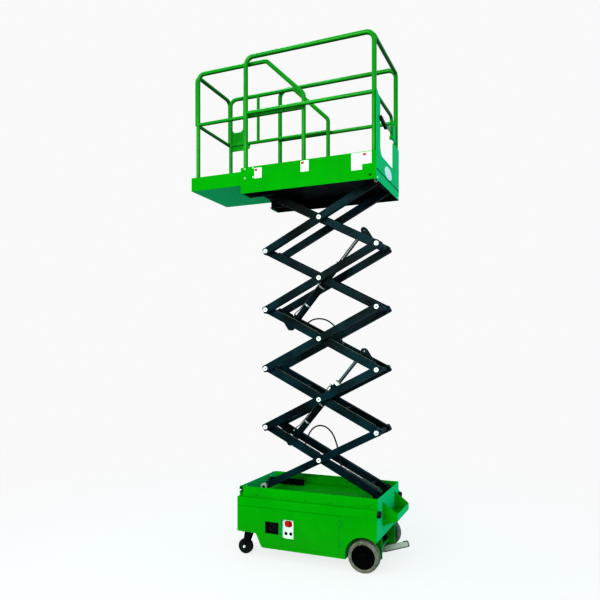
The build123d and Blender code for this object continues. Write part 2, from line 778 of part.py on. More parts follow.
# ---- platform deck -------------------------------------------------------
deck_length = deck_front + deck_rear
deck_mid = stack_x + (deck_front - deck_rear) / 2
with BuildPart() as deck:
    with BuildSketch(Plane.XY.offset(floor_z)):
        with Locations((deck_mid, 0)):
            Rectangle(deck_length, 2 * deck_half)
    extrude(amount=deck_sheet)
    for y in (deck_half - deck_sheet / 2, -deck_half + deck_sheet / 2):
        with BuildSketch(Plane.XY.offset(toe_low)):
            with Locations((deck_mid, y)):
                Rectangle(deck_length, deck_sheet)
        extrude(amount=toe_top - toe_low)
    # entry panel with its two side wings
    wing_in = deck_half - near_wing
    far_in = far_wing - deck_half
    with BuildSketch(Plane(origin=(stack_x - deck_rear, 0, 0), x_dir=(0, 1, 0), z_dir=(1, 0, 0))):
        with BuildLine():
            Polyline(
                (deck_half, toe_low),
                (deck_half, toe_top + near_wing_high),
                (wing_in, toe_top + near_wing_low),
                (wing_in, toe_top),
                (far_in, toe_top),
                (far_in, toe_top + far_wing_high),
                (-deck_half, toe_top + far_wing_high),
                (-deck_half, toe_low),
                close=True,
            )
        make_face()
        for y, z, bend in (
            (deck_half, toe_top + near_wing_high, wing_corner),
            (wing_in, toe_top + near_wing_low, wing_corner),
            (wing_in, toe_top, wing_r),
            (far_in, toe_top, wing_corner),
            (far_in, toe_top + far_wing_high, wing_corner),
            (-deck_half, toe_top + far_wing_high, wing_corner),
        ):
            fillet(vertices().sort_by_distance((y, z, 0))[0], bend)
    extrude(amount=deck_sheet)
    # front plate, open in the middle for the scissor's rollers
    with BuildSketch(Plane.XY.offset(toe_low)):
        with Locations((stack_x + deck_front - deck_sheet / 2, 0)):
            Rectangle(deck_sheet, 2 * deck_half)
            Rectangle(deck_sheet, 2 * (track_lane + track_w + track_web), mode=Mode.SUBTRACT)
    extrude(amount=floor_z - toe_low)
keep("deck", deck.part)

# ---- guard rails ---------------------------------------------------------
rail_y = deck_half - deck_sheet - seat_gap - rail_r
with BuildPart() as rails:
    with BuildLine() as loop:
        FilletPolyline(
            (stack_x - rail_rear, rail_y, floor_top),
            (stack_x - rail_rear, rail_y, rail_top),
            (stack_x + rail_front, rail_y, rail_top),
            (stack_x + rail_front, rail_y, floor_top),
            radius=rail_bend,
        )
    with BuildSketch(Plane(origin=loop.line @ 0, z_dir=loop.line % 0)):
        Circle(rail_r)
    sweep()
    with BuildSketch(Plane(origin=(stack_x - rail_rear, rail_y, rail_mid), x_dir=(0, 1, 0), z_dir=(1, 0, 0))):
        Circle(mid_r)
    extrude(amount=rail_front + rail_rear)
    with BuildSketch(Plane(origin=(stack_x - rail_rear, rail_y, rail_top - rail_bend / 2), x_dir=(1, 0, 0), z_dir=(0, -1, 0))):
        Circle(mid_r)
    extrude(amount=rail_y)
    mirror(about=Plane.XZ)
keep("guard_rails", rails.part)

# ---- gate ----------------------------------------------------------------
gate_x = stack_x - rail_rear
gate_y = gate_hinge + gate_r + seat_gap
rest_top = gate_top - gate_r - seat_gap
with BuildPart() as brackets:
    gate_plane = Plane(origin=(gate_x - bracket_t / 2, 0, 0), x_dir=(0, 1, 0), z_dir=(1, 0, 0))
    # hinge plate on the far post, and the rest of the bar's free end on the near post
    for y0, y1, z0, z1 in (
        (gate_hinge, run_fit + rail_r - rail_y, gate_low, gate_top - gate_bend),
        (gate_latch - rest_reach, rail_y - rail_r - run_fit, rest_top - rest_h, rest_top),
    ):
        with BuildSketch(gate_plane):
            with Locations(((y0 + y1) / 2, (z0 + z1) / 2)):
                Rectangle(abs(y1 - y0), z1 - z0)
        extrude(amount=bracket_t)
    for z in (gate_low, gate_top - ring_high):
        with BuildSketch(Plane.XY.offset(z)):
            with Locations((gate_x, gate_y)):
                Circle(ring_r)
                Circle(gate_r + run_fit, mode=Mode.SUBTRACT)
        extrude(amount=ring_h)
keep("gate_brackets", brackets.part)
with BuildPart() as latch:
    with BuildSketch(Plane(origin=(stack_x - deck_rear, 0, 0), x_dir=(0, 1, 0), z_dir=(1, 0, 0))):
        with Locations((wing_in + latch_set, gate_top - latch_drop)):
            Circle(latch_r)
        with Locations((wing_in + latch_set - latch_length, gate_top - latch_drop - latch_fall)):
            Circle(latch_r)
        make_hull()
    extrude(amount=-latch_t)
    fillet(latch.faces().sort_by(Axis.X)[0].edges(), latch_round)
keep("gate_latch", latch.part)
with BuildPart() as gate:
    with BuildLine() as loop:
        FilletPolyline(
            (gate_x, gate_y, gate_low),
            (gate_x, gate_y, gate_top),
            (gate_x, gate_latch, gate_top),
            radius=gate_bend,
        )
    with BuildSketch(Plane(origin=loop.line @ 0, z_dir=loop.line % 0)):
        Circle(gate_r)
    sweep()
    # corner plate
    plate_z = gate_low + gate_plate_low
    with BuildSketch(Plane(origin=(gate_x - gate_plate_t / 2, 0, 0), x_dir=(0, 1, 0), z_dir=(1, 0, 0))):
        with BuildLine():
            Polyline(
                (gate_y, plate_z),
                (gate_y + gate_tip, plate_z),
                (gate_y + gate_tip, plate_z + gate_tip_h),
                (gate_y, plate_z + gate_plate_rise),
                close=True,
            )
        make_face()
    extrude(amount=gate_plate_t)
keep("gate", gate.part)

# ---- roll-out deck -------------------------------------------------------
ext_length = front_reach - ext_rear
ext_mid = stack_x + (front_reach + ext_rear) / 2
with BuildPart() as ext_deck:
    with BuildSketch(Plane.XY.offset(ext_z)):
        with Locations((ext_mid, 0)):
            Rectangle(ext_length, 2 * ext_half)
    extrude(amount=deck_sheet)
    for y in (ext_half - deck_sheet / 2, -ext_half + deck_sheet / 2):
        with BuildSketch(Plane.XY.offset(ext_z)):
            with Locations((ext_mid, y)):
                Rectangle(ext_length, deck_sheet)
        extrude(amount=ext_toe_top - ext_z)
    with BuildSketch(Plane.XY.offset(ext_z)):
        with Locations((stack_x + front_reach - deck_sheet / 2, 0)):
            Rectangle(deck_sheet, 2 * ext_half)
    extrude(amount=ext_toe_top - ext_z)
    for y in (ext_half - pad_edge, pad_edge - ext_half):
        with BuildSketch(Plane.XY.offset(ext_z)):
            with Locations((stack_x + ext_rear + pad_length / 2, y)):
                Rectangle(pad_length, pad_w)
        extrude(amount=-pad_t)
keep("roll_out_deck", ext_deck.part)

ext_rail_y = ext_half - deck_sheet - seat_gap - ext_rail_r
ext_loop_x = stack_x + ext_post_x + ext_loop_set
with BuildPart() as ext_rails:
    with BuildLine() as loop:
        FilletPolyline(
            (stack_x + ext_post_x, ext_rail_y, ext_floor),
            (stack_x + ext_post_x, ext_rail_y, ext_rail_top),
            (stack_x + ext_drop_x, ext_rail_y, ext_rail_top),
            (stack_x + ext_low_x, ext_rail_y, ext_low_z),
            (stack_x + ext_low_x, ext_rail_y, ext_floor),
            radius=ext_bend,
        )
    with BuildSketch(Plane(origin=loop.line @ 0, z_dir=loop.line % 0)):
        Circle(ext_rail_r)
    sweep()
    with BuildSketch(Plane(origin=(stack_x + ext_low_x, ext_rail_y, ext_rail_mid), x_dir=(0, 1, 0), z_dir=(1, 0, 0))):
        Circle(ext_mid_r)
    extrude(amount=ext_post_x - ext_low_x)
    mirror(about=Plane.XZ)
    # front loop, on the two front posts down to the mid rail
    with BuildLine() as loop:
        FilletPolyline(
            (ext_loop_x, ext_rail_y, ext_rail_mid),
            (ext_loop_x, ext_rail_y, ext_rail_top - ext_loop_drop),
            (ext_loop_x, -ext_rail_y, ext_rail_top - ext_loop_drop),
            (ext_loop_x, -ext_rail_y, ext_rail_mid),
            radius=ext_bend,
        )
    with BuildSketch(Plane(origin=loop.line @ 0, z_dir=loop.line % 0)):
        Circle(ext_rail_r)
    sweep()
    with BuildSketch(cross_plane(ext_loop_x, ext_rail_mid, -ext_rail_y)):
        Circle(ext_mid_r)
    extrude(amount=2 * ext_rail_y)
    # uprights of the far side
    with BuildSketch(Plane.XY.offset(ext_rail_mid)):
        for x in ext_bar_set:
            with Locations((stack_x + ext_post_x - x, -ext_rail_y)):
                Circle(ext_bar_r)
    extrude(amount=ext_rail_top - ext_rail_mid)
    # plate for the upper controls, between the front upright and the front post
    panel_x = ext_post_x - ext_bar_set[1]
    panel_rear = ext_post_x - panel_length
    panel_top = ext_rail_mid + panel_rise
    panel_low = panel_top - panel_height
    post_edge = ext_post_x - ext_rail_r
    with BuildSketch(Plane(origin=(stack_x, -ext_rail_y + panel_t / 2, 0), x_dir=(1, 0, 0), z_dir=(0, -1, 0))):
        with Locations(((panel_x + ext_post_x) / 2, (panel_low + panel_top) / 2)):
            Rectangle(ext_post_x - panel_x, panel_height)
        with Locations(((panel_rear + panel_x) / 2, (panel_low + ext_rail_mid + ext_mid_r) / 2)):
            Rectangle(panel_x - panel_rear, ext_rail_mid + ext_mid_r - panel_low)
        for x0, x1 in ((panel_x - ext_bar_r, panel_x + ext_bar_r), (post_edge, ext_post_x)):
            with Locations(((x0 + x1) / 2, panel_top + panel_fillet / 2)):
                Rectangle(x1 - x0, 3 * panel_fillet)
        for x, z, bend in (
            (panel_x - ext_bar_r, ext_rail_mid + ext_mid_r, panel_fillet),
            (panel_x + ext_bar_r, panel_top, panel_fillet),
            (post_edge, panel_top, panel_fillet),
            (panel_rear, panel_low, panel_fillet),
        ):
            fillet(vertices().sort_by_distance((x, z, 0))[0], bend)
    extrude(amount=panel_t)
keep("roll_out_rails", ext_rails.part)

# ---- rear step and foot bar ----------------------------------------------
with BuildPart() as step:
    with BuildSketch(Plane(origin=(stack_x, step_half, 0), x_dir=(1, 0, 0), z_dir=(0, -1, 0))):
        with BuildLine():
            Polyline(
                (-chassis_rear, step_side_low),
                (-chassis_rear, step_side_top),
                (-step_reach, step_low + step_lip),
                (-step_reach, step_low),
                close=True,
            )
        make_face()
    extrude(amount=2 * step_half)
    # hollow above and below the tread, between the side plates
    with BuildSketch(Plane(origin=(stack_x, step_half - sheet, 0), x_dir=(1, 0, 0), z_dir=(0, -1, 0))):
        with Locations(((sheet - chassis_rear - step_reach) / 2, (step_low + sheet + step_side_top) / 2)):
            Rectangle(step_reach - chassis_rear - sheet, step_side_top - step_low - sheet)
        with Locations((-(chassis_rear + step_reach) / 2, (step_side_low + step_low) / 2)):
            Rectangle(step_reach - chassis_rear, step_low - step_side_low)
    extrude(amount=2 * (step_half - sheet), mode=Mode.SUBTRACT)
keep("rear_step", step.part)

with BuildPart() as buffers:
    with BuildSketch(Plane(origin=(stack_x - chassis_rear, 0, buffer_z), x_dir=(0, 1, 0), z_dir=(-1, 0, 0))):
        with Locations((-buffer_y, 0), (buffer_y, 0)):
            Circle(buffer_r)
    extrude(amount=buffer_t)
    fillet(buffers.edges().group_by(Axis.X)[0], buffer_edge)
keep("rear_buffers", buffers.part)

with BuildPart() as foot_bar:
    with BuildSketch(Plane(origin=(stack_x, bar_y + bar_t, 0), x_dir=(1, 0, 0), z_dir=(0, -1, 0))):
        with Locations((-rear_reach + bar_h / 2, bar_rear_z)):
            Circle(bar_h / 2)
        with Locations((bar_front_x, bar_front_z)):
            Circle(bar_h / 2)
        make_hull()
        with Locations((bar_front_x, bar_front_z)):
            Circle(bar_tube_r + run_fit, mode=Mode.SUBTRACT)
    extrude(amount=bar_t)
keep("foot_bar", foot_bar.part)

# ---- heavy block ---------------------------------------------------------
with BuildPart() as block:
    with BuildSketch(Plane.XY.offset(skirt_z + sheet)):
        with Locations((stack_x + block_x, 0)):
            Rectangle(block_length, block_width)
    extrude(amount=block_height)
keep("battery_block", block.part)
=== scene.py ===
import json
import math

import bmesh
import bpy
from mathutils import Matrix, Vector
from mathutils.bvhtree import BVHTree


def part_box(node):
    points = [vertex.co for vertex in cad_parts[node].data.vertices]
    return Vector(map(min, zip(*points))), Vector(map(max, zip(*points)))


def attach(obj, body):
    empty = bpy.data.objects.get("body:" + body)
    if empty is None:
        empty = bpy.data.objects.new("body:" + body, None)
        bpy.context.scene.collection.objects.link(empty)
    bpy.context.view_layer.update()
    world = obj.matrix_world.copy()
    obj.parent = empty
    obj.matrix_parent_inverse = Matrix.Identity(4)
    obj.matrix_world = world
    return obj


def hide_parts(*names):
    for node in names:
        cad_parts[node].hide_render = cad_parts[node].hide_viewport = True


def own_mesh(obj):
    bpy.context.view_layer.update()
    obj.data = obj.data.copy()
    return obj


# A self-propelled scissor lift with its mast raised and its deck rolled out.
# Metres, +X forwards, +Y to the machine's left, +Z up, the floor at Z 0.
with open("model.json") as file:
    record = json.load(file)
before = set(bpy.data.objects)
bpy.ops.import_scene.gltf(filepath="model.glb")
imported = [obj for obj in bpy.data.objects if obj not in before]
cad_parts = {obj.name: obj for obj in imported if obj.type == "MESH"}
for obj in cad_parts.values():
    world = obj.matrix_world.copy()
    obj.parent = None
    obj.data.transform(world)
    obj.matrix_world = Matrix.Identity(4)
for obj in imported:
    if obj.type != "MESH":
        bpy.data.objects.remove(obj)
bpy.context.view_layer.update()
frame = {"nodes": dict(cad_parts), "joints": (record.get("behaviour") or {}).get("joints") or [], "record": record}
nodes = frame["nodes"]
pins = {joint["name"]: Vector(joint["pos_m"]) for joint in frame["joints"] if "pos_m" in joint}

# Places that the pieces share, read from the model.
stages = 5
mast_x = pins["cross_1"].x
half_span = pins["front_joint_1"].x - mast_x
half_rise = pins["front_joint_1"].z - pins["cross_1"].z
# From an arm's middle pin to its end pin.
pitch = math.hypot(half_span, half_rise)
arm_along = Vector((half_span, 0.0, half_rise)) / pitch


def low(node):
    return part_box(node)[0]


def high(node):
    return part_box(node)[1]


def centre(stage):
    """The middle pin of a stage of the mast."""
    return pins["cross_%d" % stage]


# ---- finishes ------------------------------------------------------------
def linear(colour):
    """A six-figure sRGB hex colour as linear RGBA."""
    parts = [int(colour[i:i + 2], 16) / 255.0 for i in (0, 2, 4)]
    knee, slope, offset, gain, power = 0.04045, 12.92, 0.055, 1.055, 2.4
    bent = [p / slope if p <= knee else ((p + offset) / gain) ** power for p in parts]
    return (*bent, 1.0)


def add_node(tree, kind, settings=None, links=None):
    """Adds a shader node; settings are attributes or socket values, links are sources by socket."""
    made = tree.nodes.new("ShaderNode" + kind)
    for key, value in (settings or {}).items():
        if isinstance(key, str) and hasattr(made, key):
            setattr(made, key, value)
        else:
            made.inputs[key].default_value = value
    for key, source in (links or {}).items():
        tree.links.new(source, made.inputs[key])
    return made


def new_finish(name, shader):
    """A material with one Principled shader, its constants set on the shader's own sockets."""
    made = bpy.data.materials.new(name)
    made.use_nodes = True
    tree = made.node_tree
    tree.nodes.clear()
    surface = add_node(tree, "BsdfPrincipled", shader)
    output = add_node(tree, "OutputMaterial")
    tree.links.new(surface.outputs[0], output.inputs[0])
    place = add_node(tree, "TexCoord")
    return made, tree, surface, place.outputs["Object"]


# Sizes of what an enamelled sheet shows, in metres.
drift_size, scuff_size, speck_size, peel_deep = 0.35, 0.09, 0.02, 0.0006
most_dust = 0.3


def sprayed_enamel(name, face, worn, dust, rough, gloss, peel_mm, dust_to, painted_tint=None):
    """Two-pack enamel sprayed on steel: a fine orange peel, soft colour drift from coat to coat,
    small scuffs that dull it, and a film of dust below dust_to, a height in metres. The last
    argument, if given, is painted light: a direction, and the colour that faces turned so take."""
    made, tree, surface, place = new_finish(
        name, {"Roughness": rough, "IOR": 1.5, "Specular IOR Level": gloss})
    drift = add_node(tree, "TexNoise",
                     {"Scale": 1.0 / drift_size, "Detail": 3.0, "Roughness": 0.55},
                     {"Vector": place})
    tone = add_node(tree, "MapRange", {"From Min": 0.36, "From Max": 0.6},
                    {"Value": drift.outputs[0]})
    base = add_node(tree, "MixRGB", {1: linear(face), 2: linear(worn)}, {0: tone.outputs[0]})
    speck = add_node(tree, "TexNoise",
                     {"Scale": 1.0 / speck_size, "Detail": 4.0, "Roughness": 0.7},
                     {"Vector": place})
    height = add_node(tree, "SeparateXYZ", {}, {0: place})
    lower = add_node(tree, "MapRange",
                     {"From Min": dust_to, "From Max": 0.0, "To Max": most_dust},
                     {"Value": height.outputs[2]})
    grime = add_node(tree, "Math", {"operation": "MULTIPLY"},
                     {0: lower.outputs[0], 1: speck.outputs[0]})
    coat = add_node(tree, "MixRGB", {2: linear(dust)}, {0: grime.outputs[0], 1: base.outputs[0]})
    # Painted light: faces turned along the given direction take the given colour in place of their light or shade.
    if painted_tint:
        painted_tint_way, painted_tint_colour = painted_tint
        painted_tint_facing = add_node(tree, "VectorMath", {"operation": "DOT_PRODUCT", 1: painted_tint_way},
                               {0: place.node.outputs["Normal"]})
        share = add_node(tree, "MapRange", {"From Min": 0.35, "From Max": 0.75},
                         {"Value": painted_tint_facing.outputs["Value"]})
        coat = add_node(tree, "MixRGB", {2: linear(painted_tint_colour)},
                        {0: share.outputs[0], 1: coat.outputs[0]})
    tree.links.new(coat.outputs[0], surface.inputs["Base Color"])
    scuff = add_node(tree, "TexNoise",
                     {"Scale": 1.0 / scuff_size, "Detail": 6.0, "Roughness": 0.75},
                     {"Vector": place})
    shine = add_node(tree, "MapRange",
                     {"From Min": 0.35, "From Max": 0.65,
                      "To Min": rough - 0.07, "To Max": rough + 0.12},
                     {"Value": scuff.outputs[0]})
    tree.links.new(shine.outputs[0], surface.inputs["Roughness"])
    peel = add_node(tree, "TexNoise", {"Scale": 1000.0 / peel_mm, "Detail": 1.0},
                    {"Vector": place})
    bump = add_node(tree, "Bump", {"Strength": 0.12, "Distance": peel_deep},
                    {"Height": peel.outputs[0]})
    tree.links.new(bump.outputs[0], surface.inputs["Normal"])
    return made


# Green machine enamel on folded sheet: clean, bright and nearly flat, a little duller near the
# floor. Faces that look rearwards and down are painted a bluish teal: painted cool light.
green_enamel_painted_light = sprayed_enamel("green_sheet_enamel_painted_light", "00A406", "009C0A", "5A6A3A", 0.5, 0.04, 4.0,
                              0.45, ((-0.8, 0.0, -0.9), "00C47C"))
# The same enamel on drawn tube, where it flows out glossier and catches the lamps. Faces that
# look down are painted dark green: painted shade.
green_tube_painted_shade = sprayed_enamel("green_tube_enamel", "009C04", "008C08", "5A6A3A", 0.22, 0.3, 4.0,
                            0.45, ((0.0, -0.3, -1.0), "005206"))
# Satin black enamel on hot-rolled box section: near black, drifting into a dark teal that is a
# painted sheen, standing in for the cool light on its lit faces.
black_enamel_painted_sheen = sprayed_enamel("black_arm_enamel_painted_sheen", "013038", "010608", "2A2E28", 0.4, 0.1, 5.0,
                              0.5)
# Black enamel in the shade under the deck and on small brackets: matt, with no cast.
# Matt black enamel with no cast, on the motors, small brackets and tracks. Under the deck the same black is
# painted shade: in the sheet below the floor, and partly in the high tracks.
black_bracket_and_shade = sprayed_enamel("black_bracket_enamel", "030607", "060A0B", "2A2A26", 0.55, 0.12,
                               5.0, 0.5)


def turned_metal(name, colour, metal, rough, grain_mm):
    """Bare or plated steel: a fine mottle, drawn coarser than it is so that it shows."""
    made, tree, surface, place = new_finish(
        name, {"Base Color": linear(colour), "Metallic": metal, "Roughness": rough})
    marks = add_node(tree, "TexNoise", {"Scale": 1000.0 / grain_mm, "Detail": 3.0},
                     {"Vector": place})
    spread = add_node(tree, "MapRange", {"To Min": rough * 0.7, "To Max": rough * 1.4},
                      {"Value": marks.outputs[0]})
    tree.links.new(spread.outputs[0], surface.inputs["Roughness"])
    bump = add_node(tree, "Bump", {"Strength": 0.1, "Distance": 0.0004},
                    {"Height": marks.outputs[0]})
    tree.links.new(bump.outputs[0], surface.inputs["Normal"])
    return made


# Hard chrome on a ground rod, nearly clean; its colour is darkened far below bright chrome,
# a painted shade for rods that sit in the mast's shade.
hard_chrome_painted_shade = turned_metal("hard_chrome_painted_shade", "66686A", 1.0, 0.24, 3.0)
# Bright zinc plate on pressed and rolled steel: pale grey, softly mottled.
zinc_plate = turned_metal("bright_zinc_plate", "C8C6BC", 0.75, 0.4, 6.0)
# Dull zinc on drawn steel pipe, handled and a little oily.
dull_zinc = turned_metal("dull_zinc_pipe", "5E625C", 0.5, 0.5, 8.0)
# Passivated zinc on turned caps, sleeves and small bolts: almost white under the lamps.
white_zinc = turned_metal("white_passivated_zinc", "FFFCF4", 0.1, 0.45, 4.0)


# How far the dust in a moulded face reaches before it changes, in metres.
cloud_size = 0.045


def moulded(name, face, other, rough, gloss, grain_mm, strength):
    """Moulded plastic or rubber: matt, with a fine grain and a little dust in it."""
    made, tree, surface, place = new_finish(
        name, {"Roughness": rough, "IOR": 1.5, "Specular IOR Level": gloss})
    cloud = add_node(tree, "TexNoise",
                     {"Scale": 1.0 / cloud_size, "Detail": 4.0, "Roughness": 0.65},
                     {"Vector": place})
    tone = add_node(tree, "MapRange", {"From Min": 0.35, "From Max": 0.7},
                    {"Value": cloud.outputs[0]})
    base = add_node(tree, "MixRGB", {1: linear(face), 2: linear(other)}, {0: tone.outputs[0]})
    tree.links.new(base.outputs[0], surface.inputs["Base Color"])
    grain = add_node(tree, "TexNoise", {"Scale": 1000.0 / grain_mm, "Detail": 2.0},
                     {"Vector": place})
    bump = add_node(tree, "Bump", {"Strength": strength, "Distance": 0.0006},
                    {"Height": grain.outputs[0]})
    tree.links.new(bump.outputs[0], surface.inputs["Normal"])
    return made


# Non-marking solid rubber: grey with a brown cast where the floor has rubbed it.
grey_rubber = moulded("grey_solid_rubber", "85837A", "5F583F", 0.82, 0.2, 3.0, 0.3)
# Cast polyurethane caster tread.
black_poly = moulded("black_polyurethane", "0C0D0E", "181816", 0.6, 0.25, 3.0, 0.2)
# Smooth hydraulic hose, rubber over wire braid.
hose_rubber = moulded("black_hose_rubber", "0A0B0C", "141412", 0.5, 0.35, 2.0, 0.15)
# Moulded ABS of sockets, latches and knobs.
black_abs = moulded("black_abs", "050606", "0B0B0B", 0.5, 0.3, 2.0, 0.2)
# Pressed steel wheel disc, stove-enamelled black.
black_disc = sprayed_enamel("black_wheel_enamel", "010101", "030303", "1C1A16", 0.5, 0.06, 4.0, 0.3)
# Screen-printed polyester film, left blank: white, faintly clouded.
white_panel = moulded("white_polyester_panel", "F4F4F0", "E6E6E0", 0.45, 0.3, 5.0, 0.05)
# Red vinyl and the injection-moulded stop button.
red_button = moulded("red_moulded_plastic", "D00606", "B80404", 0.35, 0.4, 4.0, 0.05)

painted = {
    "green_paint": green_enamel_painted_light,
    "black_paint": black_enamel_painted_sheen,
    "black_hub": black_disc,
    "black_plastic": black_abs,
    "grey_rubber": grey_rubber,
    "chrome_rod": hard_chrome_painted_shade,
    "zinc_steel": zinc_plate,
    "white_plate": white_panel,
    "red_plastic": red_button,
}
own_finish = {
    "guard_rails": green_tube_painted_shade,
    "roll_out_rails": green_tube_painted_shade,
    "gate": green_tube_painted_shade,
    "left_caster_wheel": black_poly,
    "right_caster_wheel": black_poly,
    "drive_motors": black_bracket_and_shade,
    "low_tracks": black_bracket_and_shade,
    # Under the deck the high tracks' black is partly painted shade.
    "high_tracks": black_bracket_and_shade,
}
for part in frame["record"]["subparts"]:
    shell = nodes[part["node"]]
    finish = own_finish.get(part["node"], painted[part["material_slot"]])
    if not shell.data.materials:
        shell.data.materials.append(finish)
    for index in range(len(shell.data.materials)):
        shell.data.materials[index] = finish


# ---- ways of making a piece ----------------------------------------------
def finished(name, mesh, body, finish, crease=35.0):
    """The bmesh as a smooth-shaded piece that rides on a body."""
    bmesh.ops.remove_doubles(mesh, verts=mesh.verts, dist=1e-6)
    bmesh.ops.recalc_face_normals(mesh, faces=mesh.faces)
    data = bpy.data.meshes.new(name)
    mesh.to_mesh(data)
    mesh.free()
    data.shade_smooth()
    data.set_sharp_from_angle(angle=math.radians(crease))
    data.materials.append(finish)
    piece = bpy.data.objects.new(name, data)
    bpy.context.scene.collection.objects.link(piece)
    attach(piece, body)
    return piece


def facing(place, along):
    """A matrix that puts +Z along a direction, at a place."""
    return Matrix.Translation(place) @ Vector(along).to_track_quat("Z", "Y").to_matrix().to_4x4()


def turned(mesh, outline, place, along, steps=24):
    """Spins an outline of (radius, height) corners about an axis through place."""
    before = set(mesh.verts)
    corners = [mesh.verts.new((radius, 0.0, height)) for radius, height in outline]
    sides = [mesh.edges.new(pair) for pair in zip(corners, corners[1:])]
    bmesh.ops.spin(mesh, geom=corners + sides, axis=(0, 0, 1), cent=(0, 0, 0),
                   angle=math.tau, steps=steps, use_merge=True)
    made = [v for v in mesh.verts if v not in before]
    bmesh.ops.remove_doubles(mesh, verts=made, dist=1e-6)
    made = [v for v in mesh.verts if v not in before]
    bmesh.ops.transform(mesh, matrix=facing(place, along), verts=made)


def rod(mesh, start, end, radius, sides=16):
    """A round bar from start to end with its rims broken."""
    start, end = Vector(start), Vector(end)
    length = (end - start).length
    rim = min(radius * 0.2, length * 0.2)
    turned(mesh, [(0.0, 0.0), (radius - rim, 0.0), (radius, rim), (radius, length - rim),
                  (radius - rim, length), (0.0, length)], start, end - start, sides)


def slab(mesh, size, place, along=(0.0, 0.0, 1.0), rim=0.0, segments=2):
    """A block with rounded edges; its third size lies along the given direction."""
    made = bmesh.ops.create_cube(mesh, size=1.0)["verts"]
    bmesh.ops.scale(mesh, vec=size, verts=made)
    if rim > 0.0:
        edges = list({edge for vert in made for edge in vert.link_edges})
        made = bmesh.ops.bevel(mesh, geom=edges, offset=rim, segments=segments, profile=0.5,
                               affect="EDGES", material=-1)["verts"]
        made = list(set(made) | {v for f in mesh.faces if any(w in made for w in f.verts)
                                 for v in f.verts})
    bmesh.ops.transform(mesh, matrix=facing(place, along), verts=made)


def plate(mesh, width, height, thick, corner, place, along):
    """A thin plate with rounded corners, its face along the given direction."""
    made = bmesh.ops.create_cube(mesh, size=1.0)["verts"]
    bmesh.ops.scale(mesh, vec=(width, height, thick), verts=made)
    edges = [e for e in {edge for vert in made for edge in vert.link_edges}
             if abs(e.verts[0].co.z - e.verts[1].co.z) > thick / 2]
    rounded = bmesh.ops.bevel(mesh, geom=edges, offset=corner, segments=5, profile=0.5,
                              affect="EDGES", material=-1)["verts"]
    bmesh.ops.transform(mesh, matrix=facing(place, along), verts=rounded)


def hex_bolt(mesh, place, along, across, washer=True):
    """A hexagon head, on a washer or without, standing on a face at place."""
    along = Vector(along).normalized()
    base = Vector(place)
    if washer:
        thick = across * 0.12
        turned(mesh, [(0.0, 0.0), (across * 0.62, 0.0), (across * 0.62, thick), (0.0, thick)],
               base, along, 20)
        base = base + along * thick
    deep = across * 0.55
    corner_r = across * 0.577
    head = bmesh.ops.create_cone(mesh, cap_ends=True, segments=6, radius1=corner_r,
                                 radius2=corner_r, depth=deep)["verts"]
    bmesh.ops.transform(mesh, matrix=facing(base + along * deep / 2, along), verts=head)
    turned(mesh, [(0.0, deep * 0.9), (across * 0.5, deep * 0.9), (across * 0.42, deep * 1.15),
                  (0.0, deep * 1.15)], base, along, 18)


def dome_bolt(mesh, place, along, radius):
    """A button head with a small socket."""
    shares = ((0.0, 0.0), (1.0, 0.0), (0.92, 0.3), (0.62, 0.52), (0.38, 0.56), (0.34, 0.3),
              (0.0, 0.3))
    turned(mesh, [(radius * out, radius * up) for out, up in shares], place, along, 18)


def skin(node):
    """A search tree over a CAD node's faces."""
    data = nodes[node].data
    return BVHTree.FromPolygons([v.co for v in data.vertices],
                                [p.vertices for p in data.polygons])


def on_face(tree, start, direction):
    """The place where a line from start meets a CAD node, and the face's way out there."""
    place, normal, _, _ = tree.ray_cast(Vector(start), Vector(direction))
    if normal.dot(Vector(direction)) > 0.0:
        normal = -normal
    return place, normal


def smooth_line(name, points, radius=0.0):
    """The mesh of a smooth line through its control points; with a radius, of a round bar."""
    line = bpy.data.curves.new(name + "_line", "CURVE")
    line.dimensions = "3D"
    spline = line.splines.new("NURBS")
    spline.points.add(len(points) - 1)
    for spot, point in zip(spline.points, points):
        spot.co = (*point, 1.0)
    spline.order_u = 3
    spline.use_endpoint_u = True
    spline.resolution_u = 8
    if radius:
        line.bevel_depth = radius
        line.bevel_resolution = 6
        line.use_fill_caps = True
    holder = bpy.data.objects.new(name + "_line", line)
    bpy.context.scene.collection.objects.link(holder)
    data = bpy.data.meshes.new_from_object(holder)
    bpy.data.objects.remove(holder)
    return data


def swept(name, points, radius, body, finish):
    """A round bar or pipe along a smooth line through its control points."""
    data = smooth_line(name, points, radius)
    mesh = bmesh.new()
    mesh.from_mesh(data)
    bpy.data.meshes.remove(data)
    return finished(name, mesh, body, finish)


def hose(name, points, radius, body):
    """A bent pressure hose with both ends in the machine."""
    data = smooth_line(name + "_route", points)
    bpy.data.meshes.remove(data)
    piece = swept(name, points, radius, body, hose_rubber)
    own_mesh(piece)
    return piece


left_right = (("left", 1.0), ("right", -1.0))
both_sides = (1.0, -1.0)


# ---- mast: pin caps, welds and pipes -------------------------------------
# Turned cups pressed over the pins' heads, with a dimple in the middle.
cap_y, cap_r, cap_rim, cap_dimple = 0.1903, 0.0195, 0.0078, 0.0062
cap_outline = [(0.0, 0.0), (cap_r, 0.0), (cap_r, 0.006), (0.0182, cap_rim), (0.0115, cap_rim),
               (0.0085, cap_dimple), (0.0, cap_dimple)]
nipple_outline = [(0.0, 0.0), (0.0052, 0.0), (0.0052, 0.0008), (0.003, 0.0022), (0.0, 0.0024)]


def arm_point(stage, lean, along, up, y):
    """A point beside a stage's arm: along it from the middle pin and square off it. lean is 1
    for the inner arm, which rises forwards, and -1 for the outer one."""
    middle = centre(stage)
    run = Vector((arm_along.x, 0.0, lean * arm_along.z))
    off = Vector((-lean * arm_along.z, 0.0, arm_along.x))
    return Vector((middle.x, y, middle.z)) + run * along + off * up


